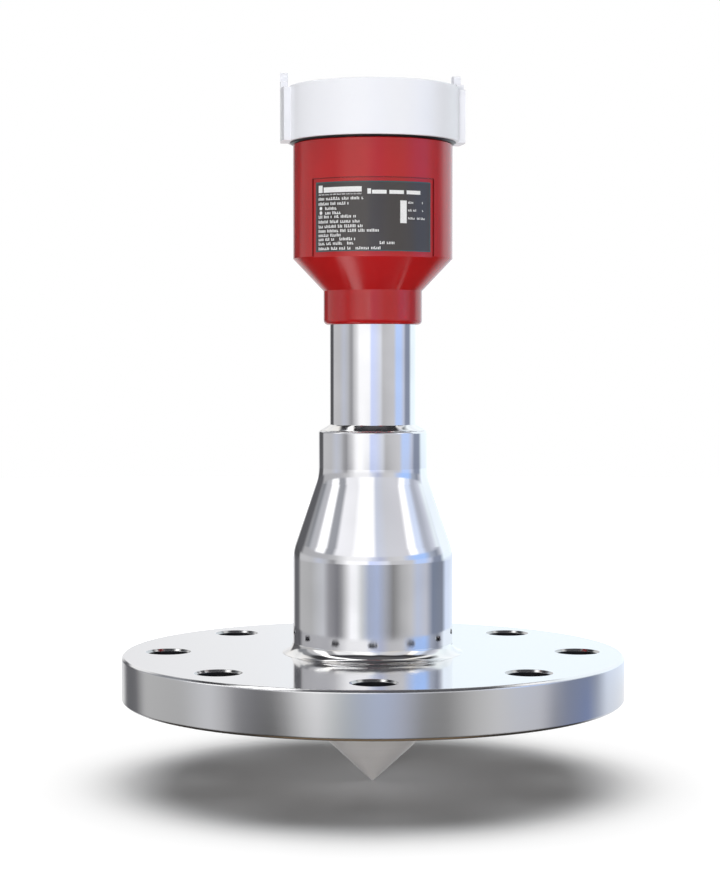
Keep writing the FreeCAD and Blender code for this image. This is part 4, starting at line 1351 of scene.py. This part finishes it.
def print_tree():
    tree, given, leave = geometry_tree(
        "wrapped_print",
        {
            "Points": "NodeSocketGeometry",
            "Radius": "NodeSocketFloat",
            "Thickness": "NodeSocketFloat",
            "Material": "NodeSocketMaterial",
        },
    )
    length = mark_value(tree, "mark_length")
    height = mark_value(tree, "mark_height")
    is_round = mark_value(tree, "mark_round")
    size = place(tree, "ShaderNodeCombineXYZ", {"X": length, "Y": given["Thickness"], "Z": height}).outputs[0]
    block = place(
        tree,
        "GeometryNodeMeshCube",
        {"Size": (1.0, 1.0, 1.0), "Vertices X": block_steps, "Vertices Y": 2, "Vertices Z": 2},
    )
    disc = place(tree, "GeometryNodeMeshCylinder", {"Vertices": disc_corners, "Radius": 0.5, "Depth": 1.0})
    upright = {"Geometry": disc.outputs["Mesh"], "Rotation": (math.pi / 2, 0.0, 0.0)}
    facing = place(tree, "GeometryNodeTransform", upright)
    square_marks = place(
        tree,
        "GeometryNodeInstanceOnPoints",
        {
            "Points": given["Points"],
            "Selection": calculate(tree, "LESS_THAN", is_round, 0.5),
            "Instance": block.outputs["Mesh"],
            "Scale": size,
        },
    )
    round_marks = place(
        tree,
        "GeometryNodeInstanceOnPoints",
        {
            "Points": given["Points"],
            "Selection": calculate(tree, "GREATER_THAN", is_round, 0.5),
            "Instance": facing.outputs[0],
            "Scale": size,
        },
    )
    joined = tree.nodes.new("GeometryNodeJoinGeometry")
    tree.links.new(square_marks.outputs[0], joined.inputs[0])
    tree.links.new(round_marks.outputs[0], joined.inputs[0])
    sheet = place(tree, "GeometryNodeRealizeInstances", {"Geometry": joined.outputs[0]}).outputs[0]
    spot = vertex_axes(tree)
    angle = calculate(tree, "DIVIDE", spot["X"], given["Radius"])
    reach = calculate(tree, "SUBTRACT", given["Radius"], spot["Y"])
    forward = calculate(tree, "MULTIPLY", calculate(tree, "COSINE", angle), reach)
    rolled = place(
        tree,
        "ShaderNodeCombineXYZ",
        {
            "X": calculate(tree, "MULTIPLY", calculate(tree, "SINE", angle), reach),
            "Y": calculate(tree, "MULTIPLY", forward, -1.0),
            "Z": spot["Z"],
        },
    )
    wrapped = place(tree, "GeometryNodeSetPosition", {"Geometry": sheet, "Position": rolled.outputs[0]})
    finish_tree(tree, leave, wrapped.outputs[0], given["Material"])
    return tree


plate_tree = print_tree()
print("print tree nodes", len(plate_tree.nodes))

# %% [markdown]
# The layout is in millimetres: along the plate from its middle, and up from its lower edge. A row is
# filled with words of random length, always from the same seed, and a word with upright strokes. A
# heading is a plain bar for each word. The blocks of the long bars need many steps along the plate,
# because they have to bend with it: a straight one would sink into the film at its middle.

# %% Layout of the print
chance = random.Random(7)
marks = []


def add_mark(left, right, low, high, is_round=0.0):
    """One mark between two places along the plate and two heights on it, in millimetres."""
    marks.append(((left + right) / 2, (low + high) / 2, right - left, high - low, is_round))


def add_row(left, right, middle, height):
    """A row of greeked words."""
    stroke = 0.30 * height
    spot = left
    letters_left = chance.randint(3, 8)
    while spot + stroke <= right:
        tall = chance.random() < 0.35
        top = middle + height * (0.5 if tall else 0.30)
        if chance.random() < 0.30:
            add_mark(spot, min(spot + 1.9 * stroke, right), middle - 0.5 * height, middle - 0.18 * height)
            add_mark(spot, spot + stroke, middle - 0.1 * height, top)
            spot += 2.5 * stroke
        else:
            add_mark(spot, spot + stroke, middle - 0.5 * height, top)
            spot += 1.75 * stroke
        letters_left -= 1
        if letters_left == 0:
            spot += 2.0 * stroke
            letters_left = chance.randint(3, 8)


def add_heading(words, low, high):
    """A heading as plain solid bars, one for each word. The first one starts with a taller block."""
    for index, (left, right) in enumerate(words):
        if index == 0:
            add_mark(left, left + 0.7 * (high - low), low, high)
            left += 0.9 * (high - low)
        add_mark(left, right, low, high - 0.28 * (high - low))


add_heading([(-25.3, -4.9)], 24.9, 28.0)
add_row(-25.3, -4.9, 24.1, 0.55)
add_heading([(-2.5, 5.6), (6.8, 13.2), (14.5, 21.2)], 24.0, 26.2)
small_rows = [
    (-25.3, -4.2, 22.3),
    (-25.3, -10.2, 20.2),
    (-21.7, -15.2, 18.2),
    (-21.7, -14.2, 16.3),
    (-25.3, -18.1, 14.7),
    (-17.1, -6.8, 14.7),
    (-25.3, -5.8, 12.6),
    (-25.3, -3.2, 10.6),
    (-25.3, 2.9, 8.7),
    (-25.3, -13.9, 6.9),
    (-25.3, -16.7, 5.2),
    (-14.7, -7.2, 5.2),
    (-25.3, -13.4, 3.4),
    (-11.2, -8.5, 3.4),
    (2.7, 9.4, 3.5),
    (-25.3, -9.2, 1.3),
    (-7.5, 3.4, 1.3),
]
for left, right, middle in small_rows:
    add_row(left, right, middle, 1.25)
for left, right, middle in [(15.2, 17.8, 20.5), (22.2, 22.9, 20.5), (15.2, 19.2, 17.3), (22.2, 22.8, 17.3)]:
    add_row(left, right, middle, 0.9)
for left, right, middle in [(15.2, 18.7, 13.9), (19.5, 24.0, 13.9)]:
    add_row(left, right, middle, 0.9)
for middle in (18.3, 16.4):
    add_mark(-24.8, -23.3, middle - 0.75, middle + 0.75, is_round=1.0)
add_mark(11.6, 14.5, 11.8, 21.3)
print("marks", len(marks))

# %% [markdown]
# The marks become the points of a mesh without faces. Their lengths, heights and whether they are
# round go along as attributes, and the tree turns the points into one thin layer of ink. The blocks
# are half sunk into the film, so the ink stands only some hundredths of a millimetre proud of it.

# %% Print on the plate
points = bpy.data.meshes.new("print_points")
points.from_pydata([(mark[0] * mm, 0.0, label_low.z + mark[1] * mm) for mark in marks], [], [])
for label, index, factor in (("mark_length", 2, mm), ("mark_height", 3, mm), ("mark_round", 4, 1.0)):
    attribute = points.attributes.new(label, "FLOAT", "POINT")
    attribute.data.foreach_set("value", [mark[index] * factor for mark in marks])
label_print = grow(
    "label_print",
    plate_tree,
    {"Radius": label_radius, "Thickness": 0.06 * mm, "Material": print_ink()},
    start_mesh=points,
)
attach(label_print, "housing")
